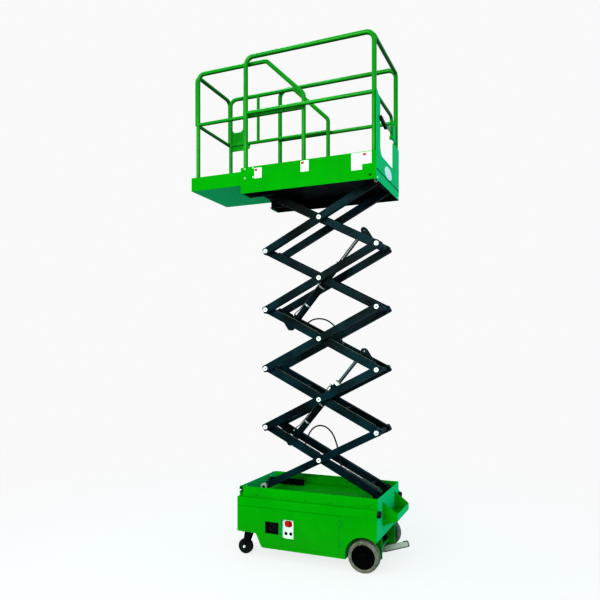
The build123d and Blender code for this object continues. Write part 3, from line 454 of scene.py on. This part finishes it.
for stage in range(1, stages + 1):
    ends = [0.0, -pitch] if stage == 1 else [0.0, -pitch, pitch]
    caps, nipples = bmesh.new(), bmesh.new()
    for side in both_sides:
        for reach in ends:
            spot = arm_point(stage, -1.0, reach, 0.0, side * cap_y)
            turned(caps, cap_outline, spot, (0.0, side, 0.0), 32)
            turned(nipples, nipple_outline, spot + Vector((0.0, side * cap_dimple, 0.0)),
                   (0.0, side, 0.0), 16)
    finished("pin_caps_%d" % stage, caps, "outer_%d" % stage, white_zinc)
    finished("grease_nipples_%d" % stage, nipples, "outer_%d" % stage,
             black_abs)

# Fillet welds round the inner frames' cross tubes, where they meet the arms.
tie_radius, arm_inner, bead = 0.020, 0.105, 0.0065
odd_tie, even_tie = 0.45, 0.2
for stage in range(1, stages + 1):
    reach = odd_tie if stage % 2 else even_tie
    beads = bmesh.new()
    for side in both_sides:
        for end in (reach, -reach):
            spot = arm_point(stage, 1.0, end, 0.0, side * (arm_inner + 0.0005))
            turned(beads, [(tie_radius - 0.001, 0.0), (tie_radius + bead, 0.0),
                           (tie_radius + 0.0045, 0.0035), (tie_radius, bead),
                           (tie_radius - 0.001, bead), (tie_radius - 0.001, 0.0)],
                   spot, (0.0, -side, 0.0), 32)
    finished("tie_welds_%d" % stage, beads, "inner_%d" % stage, black_enamel_painted_sheen)


def off_arm(stage):
    """The way square off a stage's inner arm, upwards."""
    return arm_point(stage, 1.0, 0.0, 1.0, 0.0) - arm_point(stage, 1.0, 0.0, 0.0, 0.0)


# Zinc-plated pressure pipes clipped along the left inner arms, with their clips. A pipe on top
# of its arm has a strap over it; one inside the arm hangs from a bar across to the arm.
pipe_r, clip_half, clip_t, arm_top = 0.0036, 0.006, 0.0012, 0.0305
strap, hanger_wide, hanger_t, hanger_drop = (0.012, 0.022, 0.0014), 0.014, 0.003, 0.0065
pipe_runs = (
    # stage, where it starts and ends along the arm, how far off the arm's middle line, its y
    (1, 0.04, 0.49, 0.0345, 0.118),
    (1, -0.53, -0.24, 0.0255, 0.082),
    (1, -0.53, -0.12, 0.0255, 0.050),
    (2, -0.50, -0.06, 0.0345, 0.118),
    (2, 0.05, 0.50, 0.0345, 0.112),
    (3, -0.50, -0.06, 0.0345, 0.118),
    (3, 0.05, 0.44, 0.0345, 0.112),
)
for count, (stage, start, end, up, y) in enumerate(pipe_runs, 1):
    line = [arm_point(stage, 1.0, reach, up + drop, y - inward) for reach, drop, inward in (
        (start, -0.004, 0.016), (start + 0.012, 0.0, 0.004), (start + 0.04, 0.0, 0.0),
        ((start + end) / 2, 0.0, 0.0),
        (end - 0.04, 0.0, 0.0), (end - 0.012, 0.0, 0.004), (end, -0.004, 0.016))]
    swept("arm_pipe_%d" % count, line, pipe_r, "inner_%d" % stage, dull_zinc)
    clips = bmesh.new()
    square_off = off_arm(stage)
    along = arm_point(stage, 1.0, 1.0, 0.0, y) - arm_point(stage, 1.0, 0.0, 0.0, y)
    for share in (0.2, 0.8):
        reach = start + (end - start) * share
        spot = arm_point(stage, 1.0, reach, up, y)
        turned(clips, [(pipe_r - 0.0005, -clip_half), (pipe_r + clip_t, -clip_half),
                       (pipe_r + clip_t, clip_half), (pipe_r - 0.0005, clip_half),
                       (pipe_r - 0.0005, -clip_half)], spot, along, 16)
        if up > arm_top:
            slab(clips, strap, arm_point(stage, 1.0, reach, arm_top, y), square_off, 0.0004)
        else:
            rod(clips, spot, spot - square_off * 0.008, 0.004, 10)
            slab(clips, (hanger_wide, arm_inner - y + 0.024, hanger_t),
                 arm_point(stage, 1.0, reach, up - hanger_drop, (0.1045 + y - 0.012) / 2),
                 square_off, 0.0006)
    finished("pipe_clips_%d" % count, clips, "inner_%d" % stage, dull_zinc)

# Hoses that loop near the mast's middle pins, each between two shelves on one inner frame.
hose_r, nut_across, nut_back, ferrule_on = 0.006, 0.017, 0.0245, 0.009
shelf, shelf_out, shelf_under = (0.034, 0.031, 0.005), 0.0045, 0.0027
ferrule = [(0.0, 0.0), (0.0078, 0.0), (0.0078, 0.012), (0.0068, 0.0155), (0.0, 0.0155)]
hose_routes = (
    # stage, y, length, and the route's control points as (x, z)
    (1, 0.085, 0.655, ((-0.045, 0.905), (-0.065, 0.985), (-0.122, 1.075), (-0.21, 1.097),
                       (-0.292, 1.043), (-0.335, 0.94), (-0.355, 0.85), (-0.37, 0.765))),
    (3, -0.085, 0.45, ((0.01, 1.958), (-0.03, 1.992), (-0.10, 2.008), (-0.18, 1.995),
                       (-0.25, 1.945), (-0.30, 1.875), (-0.325, 1.80))),
)
for count, (stage, y, long, loop) in enumerate(hose_routes, 1):
    route = [Vector((x, y, z)) for x, z in loop]
    fittings, shelves = bmesh.new(), bmesh.new()
    for end, after in ((route[0], route[1]), (route[-1], route[-2])):
        way = (after - end).normalized()
        foot = end - way * nut_back
        hex_bolt(fittings, foot, way, nut_across, False)
        turned(fittings, ferrule, foot + way * ferrule_on, way, 20)
        outward = Vector((0.0, math.copysign(shelf_out, y), 0.0))
        slab(shelves, shelf, foot + outward - way * shelf_under, way, 0.001)
    finished("hose_fittings_%d" % count, fittings, "inner_%d" % stage, dull_zinc)
    finished("hose_shelves_%d" % count, shelves, "inner_%d" % stage, black_enamel_painted_sheen)
    hose("middle_hose_%d" % count, route, hose_r, "inner_%d" % stage)

# ---- lift cylinders ------------------------------------------------------
# How far the lugs' pins stand from an arm's middle pin, along the arm and square off it.
lug_along, lug_up = 0.345, 0.062
# Along the barrel from its foot pin: welded rings with their widths, oil ports, pipe bands, the
# gland's sleeve and the wiper at the barrel's head.
rings, ports, bands = ((0.066, 0.012), (0.665, 0.008)), (0.105, 0.63), (0.25, 0.45)
sleeve_at, wiper_at = 0.6715, 0.7003
ring_in, ring_out, port_rise, port_nut, barrel_pipe_r = 0.0275, 0.0305, 0.026, 0.019, 0.004
band_in, band_out, band_half = 0.0281, 0.0297, 0.007
sleeve_in, sleeve_end, groove, sleeve_out = 0.0305, 0.0316, 0.0313, 0.0322
for count, stage in ((1, 1), (2, 3)):
    foot = arm_point(stage, 1.0, lug_along, -lug_up, 0.0)
    head = arm_point(stage + 2, 1.0, -lug_along, lug_up, 0.0)
    run = (head - foot).normalized()
    across = Vector((0.0, 1.0, 0.0)).cross(run).normalized()
    if across.z < 0.0:
        across = -across
    dressed = bmesh.new()
    # Rings at the closed end and under the gland, and the bosses of the oil ports.
    for reach, long in rings:
        turned(dressed, [(ring_in, 0.0), (ring_out - 0.002, 0.0), (ring_out, 0.003),
                         (ring_out, long - 0.003), (ring_out - 0.002, long), (ring_in, long),
                         (ring_in, 0.0)], foot + run * reach, run, 32)
    for reach in ports:
        turned(dressed, [(0.0, 0.0), (0.013, 0.0), (0.013, 0.012), (0.0105, 0.015), (0.0, 0.015)],
               foot + run * reach + across * port_rise, across, 20)
    finished("barrel_welds_%d" % count, dressed, "barrel_%d" % count, black_enamel_painted_sheen)
    # The wiper round the rod, the nuts on the ports and the bands that hold the pipe.
    bright = bmesh.new()
    turned(bright, [(0.0155, 0.0), (0.0235, 0.0), (0.025, 0.0015), (0.025, 0.004),
                    (0.0235, 0.0055), (0.0155, 0.0055), (0.0155, 0.0)],
           foot + run * wiper_at, run, 36)
    for reach in ports:
        hex_bolt(bright, foot + run * reach + across * (port_rise + 0.015), across, port_nut,
                 False)
    for reach in bands:
        turned(bright, [(band_in, -band_half), (band_out, -band_half), (band_out, band_half),
                        (band_in, band_half), (band_in, -band_half)], foot + run * reach, run, 36)
    finished("barrel_fittings_%d" % count, bright, "barrel_%d" % count, zinc_plate)
    pipe_route = ((ports[0], 0.046), (0.14, 0.05), (0.17, 0.0355), (bands[0], 0.0345),
                  (bands[1], 0.0345), (0.56, 0.0355), (0.59, 0.05), (ports[1], 0.046))
    swept("barrel_pipe_%d" % count,
          [foot + run * reach + across * off for reach, off in pipe_route],
          barrel_pipe_r, "barrel_%d" % count, dull_zinc)
    # A white sleeve round the gland, with two grooves.
    sleeve = bmesh.new()
    turned(sleeve, [(sleeve_in, 0.0), (sleeve_end, 0.0), (sleeve_out, 0.002),
                    (sleeve_out, 0.0075), (groove, 0.009), (sleeve_out, 0.0105),
                    (sleeve_out, 0.0165), (groove, 0.018), (sleeve_out, 0.0195),
                    (sleeve_out, 0.025), (sleeve_end, 0.027), (sleeve_in, 0.027),
                    (sleeve_in, 0.0)], foot + run * sleeve_at, run, 40)
    finished("gland_sleeve_%d" % count, sleeve, "barrel_%d" % count, white_zinc)

# ---- chassis -------------------------------------------------------------
# Painted buttons of the bolts along the ledge, by their places from the mast's middle.
chassis_skin = skin("chassis")
buttons = bmesh.new()
ledge_bolt_z, ledge_bolt_r = 0.517, 0.0085
for side in both_sides:
    for x in (0.497, 0.274, 0.060, -0.158, -0.469):
        spot, out = on_face(chassis_skin, (mast_x + x, side, ledge_bolt_z), (0, -side, 0))
        dome_bolt(buttons, spot, out, ledge_bolt_r)
finished("ledge_buttons", buttons, "chassis", green_tube_painted_shade)

# Rolled front corners of the well's side strips, each with its bolt and a thin black plate that
# is painted shade, standing in for the dark of the corner's recess.
rolled, corner_shade_plates, strip_corner_bolts = bmesh.new(), bmesh.new(), bmesh.new()
front_x = mast_x + 0.665
corner_size, corner_y, corner_z = (0.016, 0.05, 0.08), 0.3148, 0.5355
shade_plate_wide, shade_plate_tall, shade_plate_y, shade_plate_z = 0.024, 0.044, 0.3402, 0.548
strip_bolt_r, strip_bolt_y, strip_bolt_z = 0.0075, 0.3408, 0.543
for side in both_sides:
    slab(rolled, corner_size, (front_x - 0.0082, side * corner_y, corner_z), rim=0.006,
         segments=4)
    # A thin black plate on the side: painted shade of the recess behind the corner.
    plate(corner_shade_plates, shade_plate_wide, shade_plate_tall, 0.0012, 0.009, (front_x - 0.0175, side * shade_plate_y, shade_plate_z),
          (0, side, 0))
    dome_bolt(strip_corner_bolts, (front_x - 0.0125, side * strip_bolt_y, strip_bolt_z), (0, side, 0),
              strip_bolt_r)
finished("strip_corners", rolled, "chassis", green_enamel_painted_light)
finished("strip_corner_painted_shade", corner_shade_plates, "chassis", black_abs)
finished("strip_bolts", strip_corner_bolts, "chassis", white_zinc)

# Small screws that hold the control plate to the door.
plate_screws = bmesh.new()
lower, upper = low("control_plate"), high("control_plate")
inset, screw_r = 0.011, 0.0035
for x in (lower.x + inset, upper.x - inset):
    for z in (lower.z + inset, upper.z - inset):
        dome_bolt(plate_screws, (x, upper.y, z), (0.0, 1.0, 0.0), screw_r)
finished("plate_screws", plate_screws, "left_door", zinc_plate)
# A plain red field round the stop button, and plain rings round the key switches.
fields = bmesh.new()
stop = (low("stop_button") + high("stop_button")) / 2
plate(fields, 0.066, 0.050, 0.0006, 0.02, (stop.x, upper.y + 0.0004, stop.z), (0.0, 1.0, 0.0))
finished("stop_field", fields, "left_door", red_button)
key_ring = bmesh.new()
key_low, key_high = low("control_keys"), high("control_keys")
key_r = (key_high.z - key_low.z) / 2
for x in (key_low.x + key_r, key_high.x - key_r):
    turned(key_ring, [(key_r + 0.0005, 0.0), (key_r + 0.0045, 0.0), (key_r + 0.004, 0.0022),
                      (key_r + 0.0005, 0.003), (key_r + 0.0005, 0.0)],
           (x, upper.y, (key_low.z + key_high.z) / 2), (0.0, 1.0, 0.0), 28)
finished("key_collars", key_ring, "left_door", black_abs)

# The foot bar's rubber edging, under the bar and round its free end.
bar_low = low("foot_bar")
bar_y = (bar_low.y + high("foot_bar").y) / 2
bar_half, edging_r = 0.0225, 0.0048
# The bar's middle line, from its free end down to where it meets the body.
tail = Vector((bar_low.x + bar_half, bar_y, 0.182))
nose = Vector((mast_x - 0.482, bar_y, 0.100))
lie = (nose - tail).normalized()
lift_way = Vector((-lie.z, 0.0, lie.x))
if lift_way.z < 0.0:
    lift_way = -lift_way
edge = bar_half - 0.0015
under_edge, over_edge = tail - lift_way * edge, tail + lift_way * edge
swept("foot_bar_edging",
      [nose - lift_way * edge - lie * 0.05, under_edge + lie * 0.03, under_edge,
       tail - lift_way * edge * 0.95 - lie * edge * 0.75, tail - lie * (edge - 0.0035),
       tail + lift_way * edge * 0.95 - lie * edge * 0.75, over_edge, over_edge + lie * 0.02],
      edging_r, "chassis", hose_rubber)

# Raised lozenges of chequer plate, 26 mm long, standing 1.1 mm.
lozenge_r, lozenge_top_r, lozenge_deep, lozenge_wide = 0.013, 0.009, 0.0022, 0.42


def chequer(name, node, lower, upper, pitch_across, body, finish):
    """Rows of lozenges, turned left and right in turn, standing on a floor."""
    mesh = bmesh.new()
    tree = skin(node)
    rows = int((upper.y - lower.y) / pitch_across)
    for row in range(rows + 1):
        y = lower.y + (upper.y - lower.y) * row / rows
        columns = int((upper.x - lower.x) / pitch_across)
        for column in range(columns + 1):
            x = lower.x + (upper.x - lower.x) * column / columns
            place = tree.ray_cast(Vector((x, y, upper.z)), Vector((0, 0, -1)))[0]
            if place is None or place.z < lower.z:
                continue
            made = bmesh.ops.create_cone(mesh, cap_ends=True, segments=4, radius1=lozenge_r,
                                         radius2=lozenge_top_r, depth=lozenge_deep)["verts"]
            bmesh.ops.scale(mesh, vec=(1.0, lozenge_wide, 1.0), verts=made)
            turn = math.radians(45.0 if (row + column) % 2 else -45.0)
            bmesh.ops.transform(mesh, verts=made,
                                matrix=Matrix.Translation(place) @ Matrix.Rotation(turn, 4, "Z"))
    return finished(name, mesh, body, finish)


step_low, step_high, step_pitch = low("rear_step"), high("rear_step"), 0.034
chequer("step_chequer", "rear_step", Vector((step_low.x + 0.02, step_low.y + 0.02, step_low.z)),
        Vector((step_high.x - 0.012, step_high.y - 0.02, step_high.z)), step_pitch,
        "chassis", green_enamel_painted_light)

# ---- wheels --------------------------------------------------------------
# The tyre's outline, as (radius, distance from its inner face).
tyre_wide, tread_r, groove_r, bead_r = 0.08, 0.125, 0.1222, 0.0945
tread_outline = [(bead_r, 0.001), (0.1125, 0.0), (0.1185, 0.0025), (0.1232, 0.008),
                 (0.1248, 0.015), (tread_r, 0.026), (groove_r, 0.0272), (groove_r, 0.0298),
                 (tread_r, 0.031), (tread_r, 0.049), (groove_r, 0.0502), (groove_r, 0.0528),
                 (tread_r, 0.054), (0.1248, 0.066), (0.1232, 0.072), (0.1185, 0.0775),
                 (0.1125, tyre_wide), (0.1015, 0.0795), (0.0985, 0.0775), (bead_r, 0.077),
                 (bead_r, 0.001)]
# The tread's sunk fields: how far out they lie, their spacing and width in degrees, their depth.
field_r, field_step, field_wide, field_deep = 0.1243, 15.0, 3.75, 0.0016
nut_ring, nut_size, nut_turn, nut_count = 0.058, 0.017, 0.3, 5
axle_size, plate_bolt_size, bolt_off = 0.017, 0.013, 0.04
for name, side in left_right:
    body = name + "_wheel"
    middle = (low(name + "_tyre") + high(name + "_tyre")) / 2
    face = max(abs(low(name + "_tyre").y), abs(high(name + "_tyre").y))
    inner = Vector((middle.x, side * (face - tyre_wide), middle.z))
    out = Vector((0.0, side, 0.0))
    tread = bmesh.new()
    turned(tread, tread_outline, inner, out, 96)
    sunk = []
    for land in tread.faces:
        spot = land.calc_center_median() - inner
        depth = abs(spot.y)
        angle = math.degrees(math.atan2(spot.z, spot.x)) % field_step
        beside_middle = 0.016 < depth < 0.064 and not 0.031 < depth < 0.049
        if math.hypot(spot.x, spot.z) > field_r and beside_middle and angle < field_wide:
            sunk.append(land)
    bmesh.ops.recalc_face_normals(tread, faces=tread.faces)
    bmesh.ops.inset_individual(tread, faces=sunk, thickness=0.0008, depth=-field_deep)
    tyre = finished(name + "_solid_tyre", tread, body, grey_rubber, 28.0)
    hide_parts(name + "_tyre")
    disc = bmesh.new()
    hub_floor = inner + out * 0.062
    turned(disc, [(0.0, 0.0), (0.03, 0.0), (0.0335, 0.0095), (0.0335, 0.011), (0.027, 0.0145),
                  (0.01, 0.016), (0.0, 0.016)], hub_floor + out * 0.0005, out, 40)
    turned(disc, [(0.079, 0.0), (0.0865, 0.0), (0.0865, 0.006), (0.083, 0.0085), (0.079, 0.006),
                  (0.079, 0.0)], hub_floor, out, 64)
    for step in range(nut_count):
        turn = math.tau * step / nut_count + nut_turn
        ring = Vector((math.cos(turn), 0.0, math.sin(turn))) * nut_ring
        hex_bolt(disc, hub_floor + ring, out, nut_size)
    finished(name + "_hub_nuts", disc, body, black_disc)

    # Caster: the wheel's hub rings, its axle bolt, the swivel's race and the plate's bolts.
    wheel_low, wheel_high = low(name + "_caster_wheel"), high(name + "_caster_wheel")
    middle = (wheel_low + wheel_high) / 2
    half = (wheel_high.y - wheel_low.y) / 2
    core = bmesh.new()
    for way in both_sides:
        turned(core, [(0.0, 0.0), (0.012, 0.0), (0.012, 0.0022), (0.034, 0.0012), (0.0345, 0.0),
                      (0.046, 0.0), (0.0445, 0.0015), (0.038, 0.0017), (0.0345, -0.0005),
                      (0.0, -0.0005)],
               middle + Vector((0.0, way * (half + 0.0002), 0.0)), (0.0, way, 0.0), 40)
    finished(name + "_caster_core", core, name + "_caster", black_poly)
    fork_top = high(name + "_caster_fork").z
    fork_skin = skin(name + "_caster_fork")
    axle = bmesh.new()
    for way in both_sides:
        beside = (middle.x + 0.008, middle.y + way * 0.2, middle.z + 0.004)
        spot, _ = on_face(fork_skin, beside, (0.0, -way, 0.0))
        hex_bolt(axle, (middle.x, spot.y, middle.z), (0.0, way, 0.0), axle_size)
    finished(name + "_caster_axle", axle, name + "_swivel", white_zinc)
    pin_x, pin_y, _ = pins[name + "_swivel_turn"]
    race = bmesh.new()
    turned(race, [(0.02, 0.0), (0.0375, 0.0), (0.0395, 0.002), (0.0395, 0.006), (0.0375, 0.008),
                  (0.02, 0.008), (0.02, 0.0)], (pin_x, pin_y, fork_top - 0.0085), (0, 0, 1), 40)
    finished(name + "_swivel_race", race, name + "_swivel", zinc_plate)
    plate_skin = skin("caster_plates")
    bolts = bmesh.new()
    for x in (-bolt_off, bolt_off):
        for y in (-bolt_off, bolt_off):
            spot, _ = on_face(plate_skin, (pin_x + x, pin_y + y, 0.1), (0, 0, 1))
            hex_bolt(bolts, spot, (0, 0, -1), plate_bolt_size)
    finished(name + "_plate_bolts", bolts, "chassis", zinc_plate)

# ---- platform ------------------------------------------------------------
deck_skin = skin("deck")
# Blank labels on the deck's left side: their rear and front ends from the mast's middle, lower
# and upper edges, and whether a plain red field stands in the upper front corner.
label_places = (
    (0.439, 0.508, 3.160, 3.247, True),
    (0.018, 0.089, 3.166, 3.255, True),
    (-0.428, -0.339, 3.125, 3.258, False),
    (-0.503, -0.430, 3.167, 3.258, True),
)
labels, corners_red = bmesh.new(), bmesh.new()
for rear, front, base, top, red in label_places:
    middle = Vector((mast_x + (rear + front) / 2, 1.0, (base + top) / 2))
    spot, out = on_face(deck_skin, middle, (0.0, -1.0, 0.0))
    plate(labels, front - rear, top - base, 0.0008, 0.003, spot + out * 0.0005, out)
    if red:
        wide = (front - rear) * 0.36
        corner_spot = Vector((mast_x + front - wide / 2 - 0.004, spot.y, top - wide / 2 - 0.004))
        plate(corners_red, wide, wide * 0.8, 0.0005, 0.006, corner_spot + out * 0.0012, out)
finished("blank_labels", labels, "platform", white_panel)
finished("label_corners", corners_red, "platform", red_button)

# A blank oval plate on the deck's rear face.
behind = -1.2
oval_r, oval_stretch = 0.05, 2.3
oval = bmesh.new()
spot, out = on_face(deck_skin, (behind, 0.0, 3.18), (1.0, 0.0, 0.0))
turned(oval, [(0.0, 0.0), (oval_r, 0.0), (oval_r, 0.0012), (0.0488, 0.0018), (0.0, 0.0018)],
       spot, out, 48)
oval_frame = facing(spot, out)
bmesh.ops.scale(oval, vec=(oval_stretch, 1.0, 1.0), space=oval_frame.inverted(),
                verts=oval.verts)
finished("oval_plate", oval, "platform", white_panel)

deck_bolts = bmesh.new()
for side in both_sides:
    spot, out = on_face(deck_skin, (mast_x - 0.492, side, 3.08), (0.0, -side, 0.0))
    dome_bolt(deck_bolts, spot, out, 0.009)
finished("deck_side_bolts", deck_bolts, "platform", black_bracket_and_shade)

corner_bolts = bmesh.new()
front_bolt_r, rear_bolt_r = 0.0065, 0.0095
for x in (0.520, 0.598):
    for z in (3.172, 3.250):
        for side in both_sides:
            spot, out = on_face(deck_skin, (mast_x + x, side, z), (0.0, -side, 0.0))
            dome_bolt(corner_bolts, spot, out, front_bolt_r)
for side in both_sides:
    spot, out = on_face(deck_skin, (behind, side * 0.335, 3.062), (1.0, 0.0, 0.0))
    dome_bolt(corner_bolts, spot, out, rear_bolt_r)
finished("deck_corner_bolts", corner_bolts, "platform", white_zinc)

# A thin black sheet under the deck's floor and inside its skirts: painted shade, so that the mast's head reads
# dark.
deck_low, deck_high = low("deck"), high("deck")
under_z = high("high_tracks").z
skirt_z, skirt_deep = (under_z + deck_low.z) / 2, under_z - deck_low.z
shade_sheet_t = 0.0012
under = bmesh.new()
slab(under, (1.175, 0.722, shade_sheet_t), (mast_x + 0.0425, 0.0, under_z - 0.0004))
for side in both_sides:
    slab(under, (1.165, shade_sheet_t, skirt_deep - 0.001), (mast_x + 0.048, side * 0.3652, skirt_z))
    slab(under, (shade_sheet_t, 0.118, skirt_deep - 0.012),
         (mast_x + 0.6315, side * 0.301, skirt_z + 0.005))
finished("deck_painted_shade", under, "platform", black_bracket_and_shade)

floor_top = under_z + 0.003
floor_pitch = 0.04
chequer("deck_chequer", "deck", Vector((deck_low.x + 0.06, -0.335, floor_top - 0.003)),
        Vector((deck_high.x - 0.03, 0.335, floor_top + 0.02)), floor_pitch,
        "platform", green_enamel_painted_light)
roll_low, roll_high = low("roll_out_deck"), high("roll_out_deck")
chequer("roll_out_chequer", "roll_out_deck", Vector((roll_low.x + 0.03, -0.28, roll_low.z)),
        Vector((roll_high.x - 0.03, 0.28, roll_low.z + 0.03)), floor_pitch,
        "roll_out", green_enamel_painted_light)

# ---- floor, light and camera ---------------------------------------------
# A pale floor that takes only the faint shadow near the machine and is clear further out.
floor_mesh = bmesh.new()
bmesh.ops.create_circle(floor_mesh, cap_ends=True, segments=96, radius=30.0)
floor_data = bpy.data.meshes.new("floor")
floor_mesh.to_mesh(floor_data)
floor_mesh.free()
floor = bpy.data.objects.new("floor", floor_data)
bpy.context.scene.collection.objects.link(floor)
floor_finish, tree, surface, place = new_finish(
    "pale_floor", {"Base Color": linear("F8F8F8"), "Roughness": 0.9, "Specular IOR Level": 0.0})
far = add_node(tree, "VectorMath", {"operation": "LENGTH"}, {0: place})
fade = add_node(tree, "MapRange",
                {"From Min": 1.0, "From Max": 5.0, "To Min": 0.84, "To Max": 1.0,
                 "interpolation_type": "SMOOTHSTEP"}, {"Value": far.outputs["Value"]})
clear = add_node(tree, "BsdfTransparent")
blend = add_node(tree, "MixShader", {},
                 {0: fade.outputs[0], 1: surface.outputs[0], 2: clear.outputs[0]})
floor_output = next(n for n in tree.nodes if n.type == "OUTPUT_MATERIAL")
tree.links.new(blend.outputs[0], floor_output.inputs[0])
floor_data.materials.append(floor_finish)

# A pale backdrop for the eye, and a cooler, weaker sky for the lighting.
world = bpy.data.worlds.new("studio")
bpy.context.scene.world = world
world.use_nodes = True
tree = world.node_tree
tree.nodes.clear()
seen = add_node(tree, "LightPath")
way = add_node(tree, "TexCoord")
rise = add_node(tree, "SeparateXYZ", {}, {0: way.outputs["Generated"]})
shade = add_node(tree, "MapRange",
                 {"From Min": -0.6, "From Max": 0.7, "To Min": 0.34, "To Max": 0.7},
                 {"Value": rise.outputs[2]})
sky = add_node(tree, "Background", {"Color": linear("DDF4FF")}, {"Strength": shade.outputs[0]})
backdrop = add_node(tree, "Background", {"Color": linear("F8F8F8"), "Strength": 0.71})
either = add_node(tree, "MixShader", {},
                  {0: seen.outputs["Is Camera Ray"], 1: sky.outputs[0], 2: backdrop.outputs[0]})
world_output = add_node(tree, "OutputWorld")
tree.links.new(either.outputs[0], world_output.inputs[0])


def soft_light(name, place, aim, size, power, colour):
    """A large square lamp at place, turned to aim."""
    lamp = bpy.data.lights.new(name, "AREA")
    lamp.size = size
    lamp.energy = power
    lamp.color = colour
    lamp_object = bpy.data.objects.new(name, lamp)
    bpy.context.scene.collection.objects.link(lamp_object)
    lamp_object.location = place
    away = Vector(place) - Vector(aim)
    lamp_object.rotation_euler = away.to_track_quat("Z", "Y").to_euler()


soft_light("key_light", (0.5, 7.5, 3.8), (0.0, 0.0, 1.7), 5.0, 325.0, (0.95, 1.0, 0.8))
soft_light("rear_light", (-7.0, 0.5, 2.0), (0.0, 0.0, 1.8), 4.0, 95.0, (0.3, 0.9, 1.0))
soft_light("top_light", (1.4, 0.4, 7.4), (0.2, 0.2, 4.0), 1.0, 45.0, (0.7, 1.0, 0.9))
soft_light("cool_light", (3.5, 7.5, 2.5), (0.0, 0.0, 1.8), 2.5, 60.0, (0.2, 0.8, 1.0))

camera_data = bpy.data.cameras.new("camera")
camera_data.sensor_width = 36.0
camera_data.lens = 35.715
camera_data.shift_y = 0.0855
camera = bpy.data.objects.new("camera", camera_data)
bpy.context.scene.collection.objects.link(camera)
camera.location = (-1.982, 4.802, 1.718)
camera.rotation_euler = (math.radians(90.0), 0.0, math.radians(202.8))
bpy.context.scene.camera = camera
bpy.context.scene.view_settings.view_transform = "Standard"
bpy.context.scene.view_settings.look = "High Contrast"
